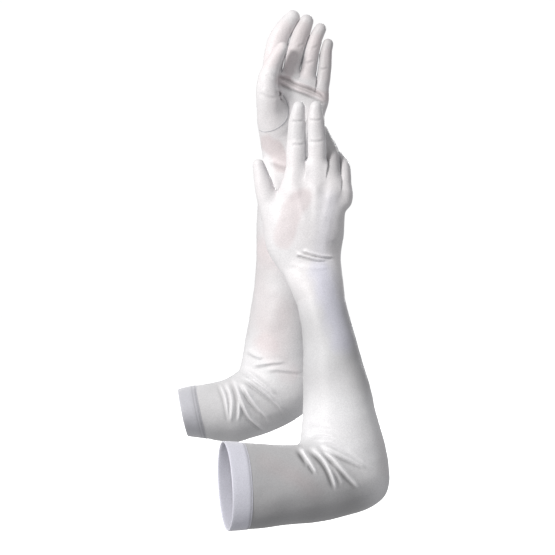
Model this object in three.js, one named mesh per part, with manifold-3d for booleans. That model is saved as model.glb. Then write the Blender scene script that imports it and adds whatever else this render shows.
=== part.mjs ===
// A pair of long stretch-satin evening gloves, in millimetres, +Z up.
// The right glove is in front (lower Y) and the left glove stands behind it.
// The origin is the centre of the right glove's arm opening.
import * as THREE from "three";
import Module from "manifold-3d";

const wasm = await Module();
wasm.setup();

// ---- driving dimensions ------------------------------------------------
const WALL = 1.0; // sleeve and finger cloth, doubled at no place
const BAND_OUT = 0.5; // the turned hem stands this far proud outside
const BAND_IN = 0.5; // and this far inside
const BAND_LENGTH = 21; // width of the turned hem
const GAP = 0.3; // clearance between neighbouring pieces
const SLEEVE_SIDES = 20;
const HAND_SIDES = 24;
const FINGER_SIDES = 12;
const STRIP_HALF = 26; // degrees of a finger's side that a fourchette fills, each way
const ELBOW_CLEAR_RIGHT = 80; // hinge to the firm cloth either side
const ELBOW_CLEAR_LEFT = 62;
const FOREARM_CLEAR = 80;
const WRIST_CLEAR = 22;

// ---- small vector helpers ----------------------------------------------
const vec = (x, y, z) => new THREE.Vector3(x, y, z);
const mix = (a, b, t) => a.clone().lerp(b, t);
const unit = (a) => a.clone().normalize();
const cross = (a, b) => new THREE.Vector3().crossVectors(a, b);
const along = (p, ...terms) => {
  const out = p.clone();
  for (const [d, s] of terms) out.addScaledVector(d, s);
  return out;
};

// A station is {c, e1, e2, a, b, p}: a superellipse of half-sizes a and b.
function point(st, phi, grow) {
  const p = 2 / (st.p || 2);
  const c = Math.cos(phi);
  const s = Math.sin(phi);
  const x = Math.sign(c) * Math.abs(c) ** p * (st.a + grow);
  const y = Math.sign(s) * Math.abs(s) ** p * (st.b + grow);
  return along(st.c, [st.e1, x], [st.e2, y]);
}
const loop = (n, from = 0) =>
  Array.from({ length: n }, (_, k) => from + (k * 2 * Math.PI) / n);
const FINGER_PHIS = [
  ...[0, 0.5, 1, 1.5, 2].map((k) => STRIP_HALF + k * (90 - STRIP_HALF)),
  180,
  ...[0, 0.5, 1, 1.5, 2].map((k) => 180 + STRIP_HALF + k * (90 - STRIP_HALF)),
  360,
].map((d) => (d * Math.PI) / 180);
function grid(stations, phis, out, inside) {
  return stations.map((st) => ({
    o: phis.map((f) => point(st, f, out)),
    n: phis.map((f) => point(st, f, -inside)),
  }));
}

// ---- closed bodies -------------------------------------------------------
class Body {
  constructor() {
    this.v = [];
    this.f = [];
  }
  add(p) {
    this.v.push(p);
    return this.v.length - 1;
  }
  quad(a, b, c, d) {
    this.f.push([a, b, c], [a, c, d]);
  }
  volume() {
    let total = 0;
    for (const [a, b, c] of this.f)
      total += this.v[a].dot(cross(this.v[b], this.v[c])) / 6;
    return total;
  }
  done() {
    if (this.volume() < 0) this.f = this.f.map(([a, b, c]) => [a, c, b]);
    return this;
  }
}

// A wall between an outer and an inner grid. closed: the columns go all the way
// round. tip: {o, n} closes the far end with a point on each side. holes: list of
// [i0, i1, j0, j1] cells left out.
function wall(rings, { closed = true, tip = null, holes = [] } = {}) {
  const body = new Body();
  const rows = rings.length;
  const cols = rings[0].o.length;
  const O = rings.map((r) => r.o.map((p) => body.add(p)));
  const N = rings.map((r) => r.n.map((p) => body.add(p)));
  const cells = closed ? cols : cols - 1;
  const next = (j) => (closed ? (j + 1) % cols : j + 1);
  const gone = (i, j) =>
    holes.some(([a, b, c, d]) => i >= a && i < b && j >= c && j < d);
  for (let i = 0; i < rows - 1; i++)
    for (let j = 0; j < cells; j++) {
      const k = next(j);
      const out = [O[i][j], O[i][k], O[i + 1][k], O[i + 1][j]];
      const inn = [N[i][j], N[i][k], N[i + 1][k], N[i + 1][j]];
      if (gone(i, j)) {
        const sides = [
          [0, 1, i > 0 && !gone(i - 1, j)],
          [1, 2, closed || j + 1 < cells ? !gone(i, k) : false],
          [2, 3, i + 1 < rows - 1 && !gone(i + 1, j)],
          [3, 0, closed || j > 0 ? !gone(i, (j - 1 + cells) % cells) : false],
        ];
        for (const [p, q, there] of sides)
          if (there) body.quad(out[p], out[q], inn[q], inn[p]);
        continue;
      }
      body.quad(...out);
      body.quad(inn[1], inn[0], inn[3], inn[2]);
    }
  for (let j = 0; j < cells; j++) {
    const k = next(j);
    if (!gone(0, j)) body.quad(O[0][k], O[0][j], N[0][j], N[0][k]);
    const e = rows - 1;
    if (!tip) body.quad(O[e][j], O[e][k], N[e][k], N[e][j]);
  }
  if (tip) {
    const e = rows - 1;
    const to = body.add(tip.o);
    const ti = body.add(tip.n);
    for (let j = 0; j < cells; j++) {
      const k = next(j);
      body.f.push([O[e][j], O[e][k], to], [N[e][k], N[e][j], ti]);
    }
  }
  if (!closed)
    for (let i = 0; i < rows - 1; i++) {
      const m = cols - 1;
      body.quad(O[i][0], O[i + 1][0], N[i + 1][0], N[i][0]);
      body.quad(O[i + 1][m], O[i][m], N[i][m], N[i + 1][m]);
    }
  return body.done();
}

// A solid loft of the stations' outlines, grown by `grow`.
function solid(stations, phis, grow) {
  const body = new Body();
  const R = stations.map((st) => phis.map((f) => body.add(point(st, f, grow))));
  const n = phis.length;
  for (let i = 0; i < R.length - 1; i++)
    for (let j = 0; j < n; j++) {
      const k = (j + 1) % n;
      body.quad(R[i][j], R[i][k], R[i + 1][k], R[i + 1][j]);
    }
  const a = body.add(stations[0].c.clone());
  const b = body.add(stations[stations.length - 1].c.clone());
  for (let j = 0; j < n; j++) {
    const k = (j + 1) % n;
    body.f.push([R[0][k], R[0][j], a], [R[R.length - 1][j], R[R.length - 1][k], b]);
  }
  return body.done();
}

function toManifold(body) {
  return new wasm.Manifold(
    new wasm.Mesh({
      numProp: 3,
      vertProperties: new Float32Array(body.v.flatMap((p) => [p.x, p.y, p.z])),
      triVerts: new Uint32Array(body.f.flat()),
    }),
  );
}
function fromManifold(m) {
  const parts = m.decompose().sort((x, y) => y.volume() - x.volume());
  const mesh = parts[0].simplify(0.02).getMesh();
  const body = new Body();
  const n = mesh.numProp;
  for (let i = 0; i < mesh.vertProperties.length; i += n)
    body.v.push(
      vec(mesh.vertProperties[i], mesh.vertProperties[i + 1], mesh.vertProperties[i + 2]),
    );
  for (let i = 0; i < mesh.triVerts.length; i += 3)
    body.f.push([mesh.triVerts[i], mesh.triVerts[i + 1], mesh.triVerts[i + 2]]);
  return body.done();
}

// ---- the assembly --------------------------------------------------------
const gloves = new THREE.Group();
gloves.name = "opera_gloves";
const COLOURS = {
  band: 0xe9e9f2,
  sleeve: 0xf4f4f6,
  crease: 0xededf1,
  hand: 0xf4f4f6,
  finger: 0xf6f6f8,
  strip: 0xe6e6ec,
};
function put(name, body, colour) {
  const g = new THREE.BufferGeometry();
  g.setAttribute(
    "position",
    new THREE.Float32BufferAttribute(body.v.flatMap((p) => [p.x, p.y, p.z]), 3),
  );
  g.setIndex(body.f.flat());
  g.computeVertexNormals();
  const mesh = new THREE.Mesh(
    g,
    new THREE.MeshStandardMaterial({ color: colour, roughness: 0.5 }),
  );
  mesh.name = name;
  gloves.add(mesh);
}

// Frames along a path of [x, y, z, a, b] whose side direction stays near `side`.
function path(list, side, first, last) {
  const c = list.map((q) => vec(q[0], q[1], q[2]));
  return list.map((q, i) => {
    let t = unit(
      c[Math.min(i + 1, c.length - 1)].clone().sub(c[Math.max(i - 1, 0)]),
    );
    if (i === 0 && first) t = unit(first);
    if (i === list.length - 1 && last) t = unit(last);
    const e1 = unit(along(side, [t, -side.dot(t)]));
    return { c: c[i], e1, e2: cross(t, e1), a: q[3], b: q[4], t, p: q[5] || 2 };
  });
}

// A finger: framed stations, then a rounded tip of length `dome`.
function finger(name, st, dome, strips, strip_end) {
  const end = st[st.length - 1];
  const full = [...st];
  for (const deg of [32, 62]) {
    const r = (deg * Math.PI) / 180;
    full.push({
      ...end,
      c: along(end.c, [end.t, dome * Math.sin(r)]),
      a: end.a * Math.cos(r),
      b: end.b * Math.cos(r),
    });
  }
  const phis = FINGER_PHIS;
  const rings = grid(full, phis, 0, WALL);
  const tip = {
    o: along(end.c, [end.t, dome]),
    n: along(end.c, [end.t, dome - WALL]),
  };
  // inner rings of the tip are kept one wall inside
  for (let k = 0; k < 2; k++) {
    const i = st.length + k;
    const r = ([32, 62][k] * Math.PI) / 180;
    const inner = {
      ...end,
      c: along(end.c, [end.t, (dome - WALL) * Math.sin(r)]),
      a: (end.a - WALL) * Math.cos(r),
      b: (end.b - WALL) * Math.cos(r),
    };
    rings[i].n = phis.map((f) => point(inner, f, 0));
  }
  const holes = [];
  for (const s of strips) holes.push([0, strip_end, ...window_of(s)]);
  put(`${name}_stall`, wall(rings, { tip, holes }), COLOURS.finger);
  for (const s of strips) {
    const [j0, j1] = window_of(s);
    const cols = [];
    for (let j = j0; j <= j1; j++) cols.push(j % FINGER_SIDES);
    const rows = [];
    for (let i = 0; i <= strip_end; i++) rows.push(rings[i]);
    const trimmed = rows.map((r) => ({
      o: trim(cols.map((j) => r.o[j])),
      n: trim(cols.map((j) => r.n[j])),
    }));
    const k = trimmed.length - 1;
    const gap = trimmed[k].o[0].distanceTo(trimmed[k - 1].o[0]);
    const t = 1 - (GAP + 0.05) / gap;
    for (const w of ["o", "n"])
      trimmed[k][w] = trimmed[k][w].map((p, i) => mix(trimmed[k - 1][w][i], p, t));
    put(
      `${name}_fourchette${strips.length > 1 ? `_${s}` : ""}`,
      wall(trimmed, { closed: false }),
      COLOURS.strip,
    );
  }
}
// the two cells about the thumb side (phi 0) or about the far side (phi 180)
function window_of(side_name) {
  return side_name === "radial" ? [10, 12] : [4, 6];
}
function trim(list) {
  const out = list.map((p) => p.clone());
  const n = out.length - 1;
  out[0] = mix(list[0], list[1], GAP / list[0].distanceTo(list[1]));
  out[n] = mix(list[n], list[n - 1], GAP / list[n].distanceTo(list[n - 1]));
  return out;
}
const SLEEVE_PHIS = loop(SLEEVE_SIDES, Math.PI / SLEEVE_SIDES);
const tube = (name, stations, colour, { phis = SLEEVE_PHIS, out = 0, inside = WALL } = {}) =>
  put(name, wall(grid(stations, phis, out, inside)), colour);

// ---- one glove ------------------------------------------------------------
function glove(g) {
  const H = vec(...g.elbow);
  const U = unit(H.clone().sub(vec(...g.opening)));
  const F = unit(vec(...g.wrist).sub(H));
  const LU = H.distanceTo(vec(...g.opening));
  const LF = H.distanceTo(vec(...g.wrist));
  const N = unit(cross(U, F)); // toward the viewer side
  const V = cross(N, U); // toward the inside of the bend
  const M = cross(N, F);
  const up = ([u, off, a, b]) => ({ c: along(H, [U, u], [V, off]), e1: V, e2: N, a, b });
  const fore = ([f, off, a, b]) => ({ c: along(H, [F, f], [M, off]), e1: M, e2: N, a, b });

  // sleeve half-sizes along the upper arm and the forearm, by distance
  const at = (table, s) => {
    let i = 0;
    while (i < table.length - 2 && table[i + 1][0] < s) i++;
    const [p, q] = [table[i], table[i + 1]];
    const t = (s - p[0]) / (q[0] - p[0]);
    return [s, ...[1, 2, 3].map((k) => p[k] + (q[k] - p[k]) * t)];
  };
  const upper = (s) => up(at(g.upper, s));
  const lower = (s) => fore(at(g.forearm, s));

  const s0 = -LU;
  const s1 = s0 + BAND_LENGTH;
  const s2 = -g.elbow_clear;
  tube(`${g.side}_hem_band`, [upper(s0), upper(s1)], COLOURS.band, {
    out: BAND_OUT,
    inside: WALL + BAND_IN,
  });
  tube(
    `${g.side}_upper_sleeve`,
    [upper(s1 + GAP), upper((s1 + s2) / 2), upper(s2)],
    COLOURS.sleeve,
  );

  // the elbow: rings that fan about a line just outside the crease
  const Q = along(H, [U, g.pivot[0]], [V, g.pivot[1]]);
  const qf = Q.clone().sub(H).dot(F);
  const fan = g.fan.map(([deg, rin, rout, b]) => {
    const r = (deg * Math.PI) / 180;
    const out = along(vec(0, 0, 0), [V, -Math.cos(r)], [U, Math.sin(r)]);
    return {
      c: along(Q, [out, (rin + rout) / 2]),
      e1: out.clone().negate(),
      e2: N,
      a: (rout - rin) / 2,
      b,
    };
  });
  tube(
    `${g.side}_elbow_sleeve`,
    [
      upper(s2 + GAP),
      upper((s2 + g.pivot[0]) / 2),
      ...fan,
      lower((qf + FOREARM_CLEAR) / 2),
      lower(FOREARM_CLEAR - GAP),
    ],
    COLOURS.crease,
  );
  const f1 = LF - WRIST_CLEAR;
  const marks = g.forearm.map((q) => q[0]).filter((s) => s > FOREARM_CLEAR + 8 && s < f1 - 8);
  tube(
    `${g.side}_forearm_sleeve`,
    [FOREARM_CLEAR, ...marks, f1].map(lower),
    COLOURS.sleeve,
  );

  // the wrist: from the forearm's frame to the hand's
  const SIDE = vec(-1, 0, 0);
  const BACK = vec(0, -1, 0);
  const hand = g.hand.map(([x, y, z, a, b, p]) => ({
    c: vec(x, y, z),
    e1: SIDE,
    e2: BACK,
    a,
    b,
    p,
  }));
  const from = lower(f1 + GAP);
  const to = { ...hand[0], c: along(hand[0].c, [vec(0, 0, 1), -GAP]) };
  const wrist = [from];
  for (const t of [0.3, 0.5, 0.75]) {
    const w = t * t * (3 - 2 * t);
    const e1 = unit(mix(from.e1, to.e1, w));
    const e2 = unit(along(mix(from.e2, to.e2, w), [e1, -mix(from.e2, to.e2, w).dot(e1)]));
    wrist.push({
      c: along(mix(from.c, to.c, t), [vec(...g.wrist_shift), 4 * t * (1 - t)]),
      e1,
      e2,
      a: from.a + (to.a - from.a) * t,
      b: from.b + (to.b - from.b) * t,
      p: 2 + (to.p - 2) * t,
    });
  }
  wrist.push(to);
  tube(`${g.side}_wrist_sleeve`, wrist, COLOURS.crease);

  // the hand: a shell open at the wrist, at the finger line and at the thumb
  const T = g.top;
  const top = {
    c: vec(...T.c),
    e1: unit(vec(...T.e1)),
    e2: BACK,
    a: T.a,
    b: T.b,
    p: 2.6,
  };
  const shell = [...hand, top];
  const phis = loop(HAND_SIDES, Math.PI / HAND_SIDES);
  const thumb = path(g.thumb_root, vec(...g.thumb_side), vec(...g.thumb_first), vec(...g.thumb_axis));
  const ends = (list, s, e) => [
    { ...list[0], c: along(list[0].c, [list[0].t, -s]) },
    ...list,
    { ...list[list.length - 1], c: along(list[list.length - 1].c, [list[list.length - 1].t, e]) },
  ];
  const tphis = loop(FINGER_SIDES + 4, Math.PI / (FINGER_SIDES + 4));
  const handShell = toManifold(wall(grid(shell, phis, 0, WALL)));
  const handSolid = toManifold(
    solid(
      shell.map((st, i) => (i === 0 ? { ...st, c: along(st.c, [vec(0, 0, 1), -3]) } : st)),
      phis,
      GAP,
    ),
  );
  const rootOuter = toManifold(solid(thumb, tphis, 0));
  const rootHole = toManifold(solid(thumb, tphis, GAP));
  const rootInner = toManifold(solid(ends(thumb, 4, 4), tphis, -WALL));
  put(
    `${g.side}_hand_shell`,
    fromManifold(handShell.subtract(rootHole)),
    COLOURS.hand,
  );
  put(
    `${g.side}_thumb_gusset`,
    fromManifold(rootOuter.subtract(rootInner).subtract(handSolid)),
    COLOURS.strip,
  );
  const thumb_st = path(g.thumb, vec(...g.thumb_side), vec(...g.thumb_axis));
  finger(`${g.side}_thumb`, thumb_st, g.thumb_dome, [], 0);

  // the fingers
  for (const [name, q] of Object.entries(g.fingers)) {
    const base = q.list[0];
    const st = path(q.list, SIDE);
    // the root: from the finger line to the first firm ring
    const first = {
      c: vec(base[0], base[1], g.top.c[2] - ((base[0] - g.top.c[0]) * g.top.e1[2]) / -g.top.e1[0]),
      e1: top.e1,
      e2: BACK,
      a: base[3],
      b: base[4],
      p: 2.3,
    };
    const n = unit(cross(top.e1, BACK)).negate();
    if (n.z < 0) n.negate();
    first.c = along(first.c, [n, GAP]);
    const rings = [first, ...st.slice(1, q.root + 1)];
    const last = rings[rings.length - 1];
    rings[rings.length - 1] = { ...last, c: along(last.c, [last.t, -GAP]) };
    tube(`${g.side}_${name}_root`, rings, COLOURS.crease, { phis: FINGER_PHIS });
    finger(`${g.side}_${name}`, st.slice(q.root), q.dome, q.strips, q.strip_end);
  }
}

glove({
  side: "right",
  opening: [0, 0, 0],
  elbow: [125.5, 32, 0],
  wrist: [89.3, 122, 226.6],
  elbow_clear: ELBOW_CLEAR_RIGHT,
  // [distance, offset, half-size across, half-size in depth]
  upper: [
    [-130, 0, 47, 31],
    [-98, -0.3, 44.8, 32.5],
    [-80, -0.2, 43, 34],
    [-60, 0, 41.6, 35],
    [-50, 1, 41, 36],
  ],
  pivot: [-50, 48],
  fan: [
    [0, 6, 88, 36],
    [13, 5, 88.2, 37],
    [26, 4.5, 91.6, 38.4],
    [38, 4.2, 98, 39.4],
    [48, 4, 105.6, 40],
    [57, 4.2, 109, 40],
    [66, 4.4, 105.4, 39.7],
    [78, 4.9, 97.8, 39.1],
    [93, 5.9, 91.9, 38.5],
  ],
  forearm: [
    [50.5, -1.5, 43, 38.5],
    [80, -3.9, 38.2, 36.5],
    [114, -6, 34.5, 33],
    [142, -7.2, 31.3, 30],
    [160, -6.9, 28.6, 27],
    [182, -5.6, 26, 23.6],
    [205, -4.3, 25.9, 21.8],
    [228, -2.8, 30, 21],
    [247, -1.3, 32.6, 20.5],
  ],
  wrist_shift: [0, 0.8, 0],
  hand: [
    [81.7, 122, 248.6, 37, 19.6, 2.2],
    [82, 122, 258.5, 38.3, 19.2, 2.3],
    [82.9, 122, 269.1, 39.6, 18.4, 2.4],
    [85, 122, 280, 39, 17.4, 2.5],
    [90, 122, 292.5, 37.4, 15.8, 2.5],
    [92.4, 122, 304.2, 38, 14.2, 2.6],
    [95, 122, 315, 36, 12.2, 2.6],
  ],
  top: { c: [96.5, 122, 325.9], e1: [-0.977, 0, 0.211], a: 35.4, b: 10.6 },
  thumb_side: [-1, 0, 0],
  thumb_first: [-0.72, 0.12, 0.68],
  thumb_axis: [-0.24, 0, 0.97],
  thumb_root: [
    [66, 126, 259, 20, 13.5],
    [53.5, 127, 272, 16.5, 13.2],
    [45.6, 128, 288, 12.6, 12],
    [40.9, 128, 304.8, 11, 11],
  ],
  thumb: [
    [40.8, 128, 305.3, 11, 11],
    [37.9, 128, 316.5, 9.6, 10],
    [35, 128, 328, 7.4, 8.4],
    [33.6, 128, 333, 6.2, 7],
  ],
  thumb_dome: 6.4,
  fingers: {
    index: {
      list: [
        [73.4, 122, 331, 10.4, 9.8],
        [73.5, 122, 339, 10.3, 9.6],
        [73.6, 122, 347.6, 10.1, 9.3],
        [73.8, 122, 362.7, 9.6, 8.9],
        [74.4, 122, 380.5, 8.4, 8],
        [75.9, 122, 392.5, 7.5, 7.2],
      ],
      root: 2,
      strips: ["ulnar"],
      strip_end: 2,
      dome: 8.5,
    },
    middle: {
      list: [
        [95, 122, 327, 9.7, 9.8],
        [95.2, 122, 337, 9.8, 9.6],
        [95.4, 122, 346, 9.9, 9.4],
        [95.2, 122, 360, 9.4, 9],
        [94.4, 122, 378.6, 8.1, 8],
        [95.2, 122, 392.5, 7.2, 7.1],
      ],
      root: 2,
      strips: ["radial", "ulnar"],
      strip_end: 2,
      dome: 8.5,
    },
    ring: {
      list: [
        [112.6, 122, 324, 6.8, 9.4],
        [112.6, 126.5, 335.5, 6.8, 9.2],
        [112.6, 134, 344.5, 6.8, 9],
        [110.4, 144, 352, 6.6, 8.6],
        [107.4, 155, 360.4, 6.4, 8],
        [104.6, 164, 369, 6, 7],
      ],
      root: 2,
      strips: ["radial", "ulnar"],
      strip_end: 2,
      dome: 8,
    },
    little: {
      list: [
        [125.7, 122, 320, 5.5, 8.2],
        [125.7, 127, 328.6, 5.5, 8],
        [125.2, 134.5, 333.8, 5.5, 7.8],
        [123.7, 143.5, 336.8, 5.4, 7.4],
        [121.6, 152, 340, 5.3, 6.8],
        [119.3, 160, 344, 5.1, 6],
      ],
      root: 2,
      strips: ["radial"],
      strip_end: 2,
      dome: 7,
    },
  },
});

glove({
  side: "left",
  opening: [-52.2, 294, 62.1],
  elbow: [61, 294, 86.1],
  wrist: [65.5, 294, 333.7],
  elbow_clear: ELBOW_CLEAR_LEFT,
  upper: [
    [-116, 0, 26.4, 50],
    [-99, -2.8, 29.4, 47.5],
    [-84, -6.6, 32.6, 45],
    [-62, -10, 36, 42],
    [-45, -5.6, 38, 40.5],
  ],
  pivot: [-45, 41],
  fan: [
    [0, 8.5, 84.6, 40.5],
    [11, 7, 84.8, 40.3],
    [22, 6, 86.5, 40.2],
    [33, 5.2, 90, 40],
    [44, 4.8, 95, 40],
    [55, 4.6, 97.5, 39.6],
    [66, 4.6, 94.5, 39],
    [77, 4.7, 88.5, 38.5],
  ],
  forearm: [
    [29.7, 6.5, 42, 38.5],
    [55, 4.6, 40.2, 37.5],
    [80, 3.2, 37.8, 35.8],
    [110, 2, 33.8, 32.4],
    [145, 3.3, 30.2, 28],
    [180, 5.6, 28.4, 24],
    [206, 5.4, 28, 22.2],
    [228, 2, 29.6, 21.2],
    [248, -1, 31.4, 20.6],
  ],
  wrist_shift: [0, 0, 0],
  hand: [
    [71.2, 294, 355.7, 35.7, 19.4, 2.2],
    [70.2, 294, 368, 36.2, 18.8, 2.3],
    [68.9, 294, 382, 37, 17.6, 2.4],
    [68.2, 294, 396, 37.8, 16, 2.5],
    [69.8, 294, 408, 38, 14.4, 2.6],
    [72, 294, 419, 38.2, 12.6, 2.6],
  ],
  top: { c: [75, 294, 434.2], e1: [-0.957, 0, 0.291], a: 40.2, b: 10.8 },
  thumb_side: [-1, 0, 0],
  thumb_first: [-0.3, -0.78, 0.55],
  thumb_axis: [0.03, 0, 1],
  thumb_root: [
    [51.5, 286, 391, 17.5, 19.5],
    [47, 277, 400, 16.2, 16.5],
    [43, 270, 411, 14.2, 13.4],
    [41.8, 267.5, 423.6, 12.6, 11.8],
  ],
  thumb: [
    [41.8, 267.5, 424.1, 12.6, 11.6],
    [42.8, 268, 434.5, 11.2, 10.6],
    [46.6, 269, 447.5, 9.4, 9],
    [53, 270, 459.5, 7.7, 7.8],
    [58.6, 270.5, 468, 6.5, 6.6],
  ],
  thumb_dome: 8,
  fingers: {
    index: {
      list: [
        [47, 294, 442, 9.8, 9.6],
        [49, 294, 451.8, 10.3, 9.4],
        [50.6, 294, 460.8, 10.7, 9.2],
        [53, 294, 474, 11, 8.9],
        [59.4, 294, 490.8, 9.6, 8.4],
        [66, 294, 504.2, 7.9, 7.4],
      ],
      root: 2,
      strips: ["ulnar"],
      strip_end: 2,
      dome: 9,
    },
    middle: {
      list: [
        [67.4, 294, 436.5, 9.2, 9.6],
        [70.2, 294, 448, 9.1, 9.4],
        [72.6, 294, 457.4, 8.9, 9.2],
        [75.6, 294, 470.5, 9, 8.9],
        [80.6, 294, 487.4, 8.7, 8.2],
        [85.2, 294, 498, 7.7, 7.3],
      ],
      root: 2,
      strips: ["radial", "ulnar"],
      strip_end: 2,
      dome: 9,
    },
    ring: {
      list: [
        [86.2, 294, 430.5, 8.5, 9.2],
        [88.6, 294, 443, 8.4, 9],
        [90.4, 294, 452.8, 8.1, 8.7],
        [93.4, 294, 466.8, 7.7, 8.3],
        [97.2, 294, 481, 7.3, 7.7],
        [100.4, 294, 490, 6.8, 7],
      ],
      root: 2,
      strips: ["radial", "ulnar"],
      strip_end: 2,
      dome: 8.6,
    },
    little: {
      list: [
        [103.4, 294, 424.5, 7.2, 8.2],
        [105.2, 294, 437, 7.1, 8],
        [106.4, 294, 446, 6.9, 7.7],
        [107.4, 294, 455.8, 6.6, 7.3],
        [108.4, 294, 464.5, 6.3, 6.8],
        [109.4, 294, 472, 5.9, 6.1],
      ],
      root: 2,
      strips: ["radial"],
      strip_end: 2,
      dome: 8,
    },
  },
});

export default gloves;
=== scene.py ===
"""A pair of long white stretch-satin evening gloves, built as thin closed shells of cloth over the CAD frame.
Lengths are in millimetres until the meshes are made, and in the CAD's own frame."""
import math
import bpy
import numpy as np
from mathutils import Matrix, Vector
from mathutils.bvhtree import BVHTree


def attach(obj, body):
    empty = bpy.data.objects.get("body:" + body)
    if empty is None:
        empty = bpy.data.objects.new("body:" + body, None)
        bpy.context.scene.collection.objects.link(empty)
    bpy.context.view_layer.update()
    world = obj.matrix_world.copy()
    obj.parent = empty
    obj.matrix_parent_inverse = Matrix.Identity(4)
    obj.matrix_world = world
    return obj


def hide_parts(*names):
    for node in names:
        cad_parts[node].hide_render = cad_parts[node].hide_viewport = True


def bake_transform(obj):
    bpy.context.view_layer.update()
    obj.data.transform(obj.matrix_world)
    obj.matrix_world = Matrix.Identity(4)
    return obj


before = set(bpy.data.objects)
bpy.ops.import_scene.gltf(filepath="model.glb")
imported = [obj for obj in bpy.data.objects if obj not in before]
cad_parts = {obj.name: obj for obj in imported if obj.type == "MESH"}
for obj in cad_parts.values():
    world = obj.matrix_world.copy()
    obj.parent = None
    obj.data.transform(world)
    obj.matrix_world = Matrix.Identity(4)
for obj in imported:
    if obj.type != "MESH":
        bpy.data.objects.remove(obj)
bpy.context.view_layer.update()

EYE = np.array([53.7, -3088.0, 213.3])  # the camera
VOXEL = 1.2
MM = 0.001


# ---------------------------------------------------------------- helpers
def unit(a):
    a = np.asarray(a, float)
    return a / np.maximum(np.linalg.norm(a, axis=-1, keepdims=True), 1e-12)


def smooth(t):
    t = np.clip(t, 0, 1)
    return t * t * (3 - 2 * t)


def band(x, a, b):
    """0 before a, 1 after b."""
    return smooth((x - a) / (b - a))


def gauss(a, sigma):
    """Smooths along the first axis, with straight continuation at the ends."""
    n = int(sigma * 3) + 1
    k = np.exp(-0.5 * (np.arange(-n, n + 1) / sigma) ** 2)
    k /= k.sum()
    a = np.asarray(a, float)
    flat = a.reshape(len(a), -1)
    head = 2 * flat[0] - flat[1 : n + 1][::-1]
    tail = 2 * flat[-1] - flat[-n - 1 : -1][::-1]
    padded = np.concatenate([head, flat, tail])
    out = np.stack([np.convolve(padded[:, j], k, "valid") for j in range(flat.shape[1])], 1)
    return out.reshape(a.shape)


def look(table, s):
    t = np.asarray(table, float)
    return [np.interp(s, t[:, 0], t[:, k]) for k in range(1, t.shape[1])]


def front(v, depth):
    """Where the line of sight to each point meets the plane Y = depth, as X and Z."""
    k = (depth - EYE[1]) / (v[:, 1] - EYE[1])
    return np.stack([EYE[0] + (v[:, 0] - EYE[0]) * k, EYE[2] + (v[:, 2] - EYE[2]) * k], 1)


def to_line(q, line):
    """Signed distance from 2D points to a polyline, and how far along it, 0 to 1."""
    line = np.asarray(line, float)
    if len(line) > 2:  # round its corners
        t = np.linspace(0, len(line) - 1, 8 * (len(line) - 1) + 1)
        line = np.stack([np.interp(t, np.arange(len(line)), line[:, k]) for k in (0, 1)], 1)
        line = np.concatenate([line[:1], gauss(line, 2.6)[1:-1], line[-1:]])
    best = np.full(len(q), 1e9)
    side = np.ones(len(q))
    where = np.zeros(len(q))
    seg = np.diff(line, axis=0)
    lens = np.linalg.norm(seg, axis=1)
    total = lens.sum()
    done = 0.0
    for a, d, n in zip(line[:-1], seg, lens):
        w = q - a
        t = np.clip((w @ d) / (n * n), 0, 1)
        r = w - t[:, None] * d
        dist = np.linalg.norm(r, axis=1)
        closer = dist < best
        best = np.where(closer, dist, best)
        side = np.where(closer, np.sign(d[0] * w[:, 1] - d[1] * w[:, 0]), side)
        where = np.where(closer, (done + t * n) / total, where)
        done += n
    return best * side, where


def fold(v, n, line, depth, high, wide, taper=(0.3, 0.16), valley=0.5, side=1, both=False):
    """How far a fold lifts each point: a soft ridge along the line with a hollow beside it."""
    q = front(v, depth)
    d, t = to_line(q, line)
    ends = band(t, -0.02, taper[0]) * np.clip(1.02 - t, 0, 1) ** 0.22 * (1 - 0.9 * band(t, 1 - taper[1], 1.0))
    # past either end the distance is to the tip, so the fold also fades by it
    wide = wide * (1.25 - 0.5 * t)
    # past the ends the distance grows, so this only softens the tips
    steep = np.where(d * side < 0, 0.85, 1.5)
    ridge = np.exp(-((d / (wide * steep)) ** 2))
    hollow = np.exp(-(((d + side * 1.7 * wide) / (1.05 * wide)) ** 2))
    sight = unit(EYE - v)
    facing = (n * sight).sum(1)
    see = band(facing, -0.05, 0.3)
    if both:
        see = np.maximum(see, 0.8 * band(-facing, -0.05, 0.3))
    return high * ends * (ridge - valley * hollow) * see


def noise3(p, scale, seed):
    """Smooth repeatable noise from -1 to 1."""
    r = np.random.RandomState(seed)
    out = np.zeros(len(p))
    for _ in range(9):
        k = unit(r.normal(size=3)) * (2 * math.pi / scale) * r.uniform(0.6, 1.5)
        out += np.sin(p @ k + r.uniform(0, 6.28))
    return out / 4.5


def frames_of(c, e1):
    t = unit(np.gradient(c, axis=0))
    e1 = unit(e1 - (e1 * t).sum(1, keepdims=True) * t)
    return t, e1, np.cross(t, e1)


def ring_points(c, e1, e2, a, b, p, phi):
    co, si = np.cos(phi), np.sin(phi)
    x = np.sign(co) * np.abs(co) ** (2 / p[:, None]) * a[:, None]
    y = np.sign(si) * np.abs(si) ** (2 / p[:, None]) * b[:, None]
    return c[:, None] + e1[:, None] * x[..., None] + e2[:, None] * y[..., None]


def quads_normals(v, f):
    """Point normals of a quad or triangle mesh."""
    n = np.cross(v[f[:, 2]] - v[f[:, 0]], v[f[:, -1]] - v[f[:, 1]]) if f.shape[1] == 4 else np.cross(v[f[:, 1]] - v[f[:, 0]], v[f[:, 2]] - v[f[:, 0]])
    out = np.zeros_like(v)
    for k in range(f.shape[1]):
        np.add.at(out, f[:, k], n)
    return unit(out)


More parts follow.
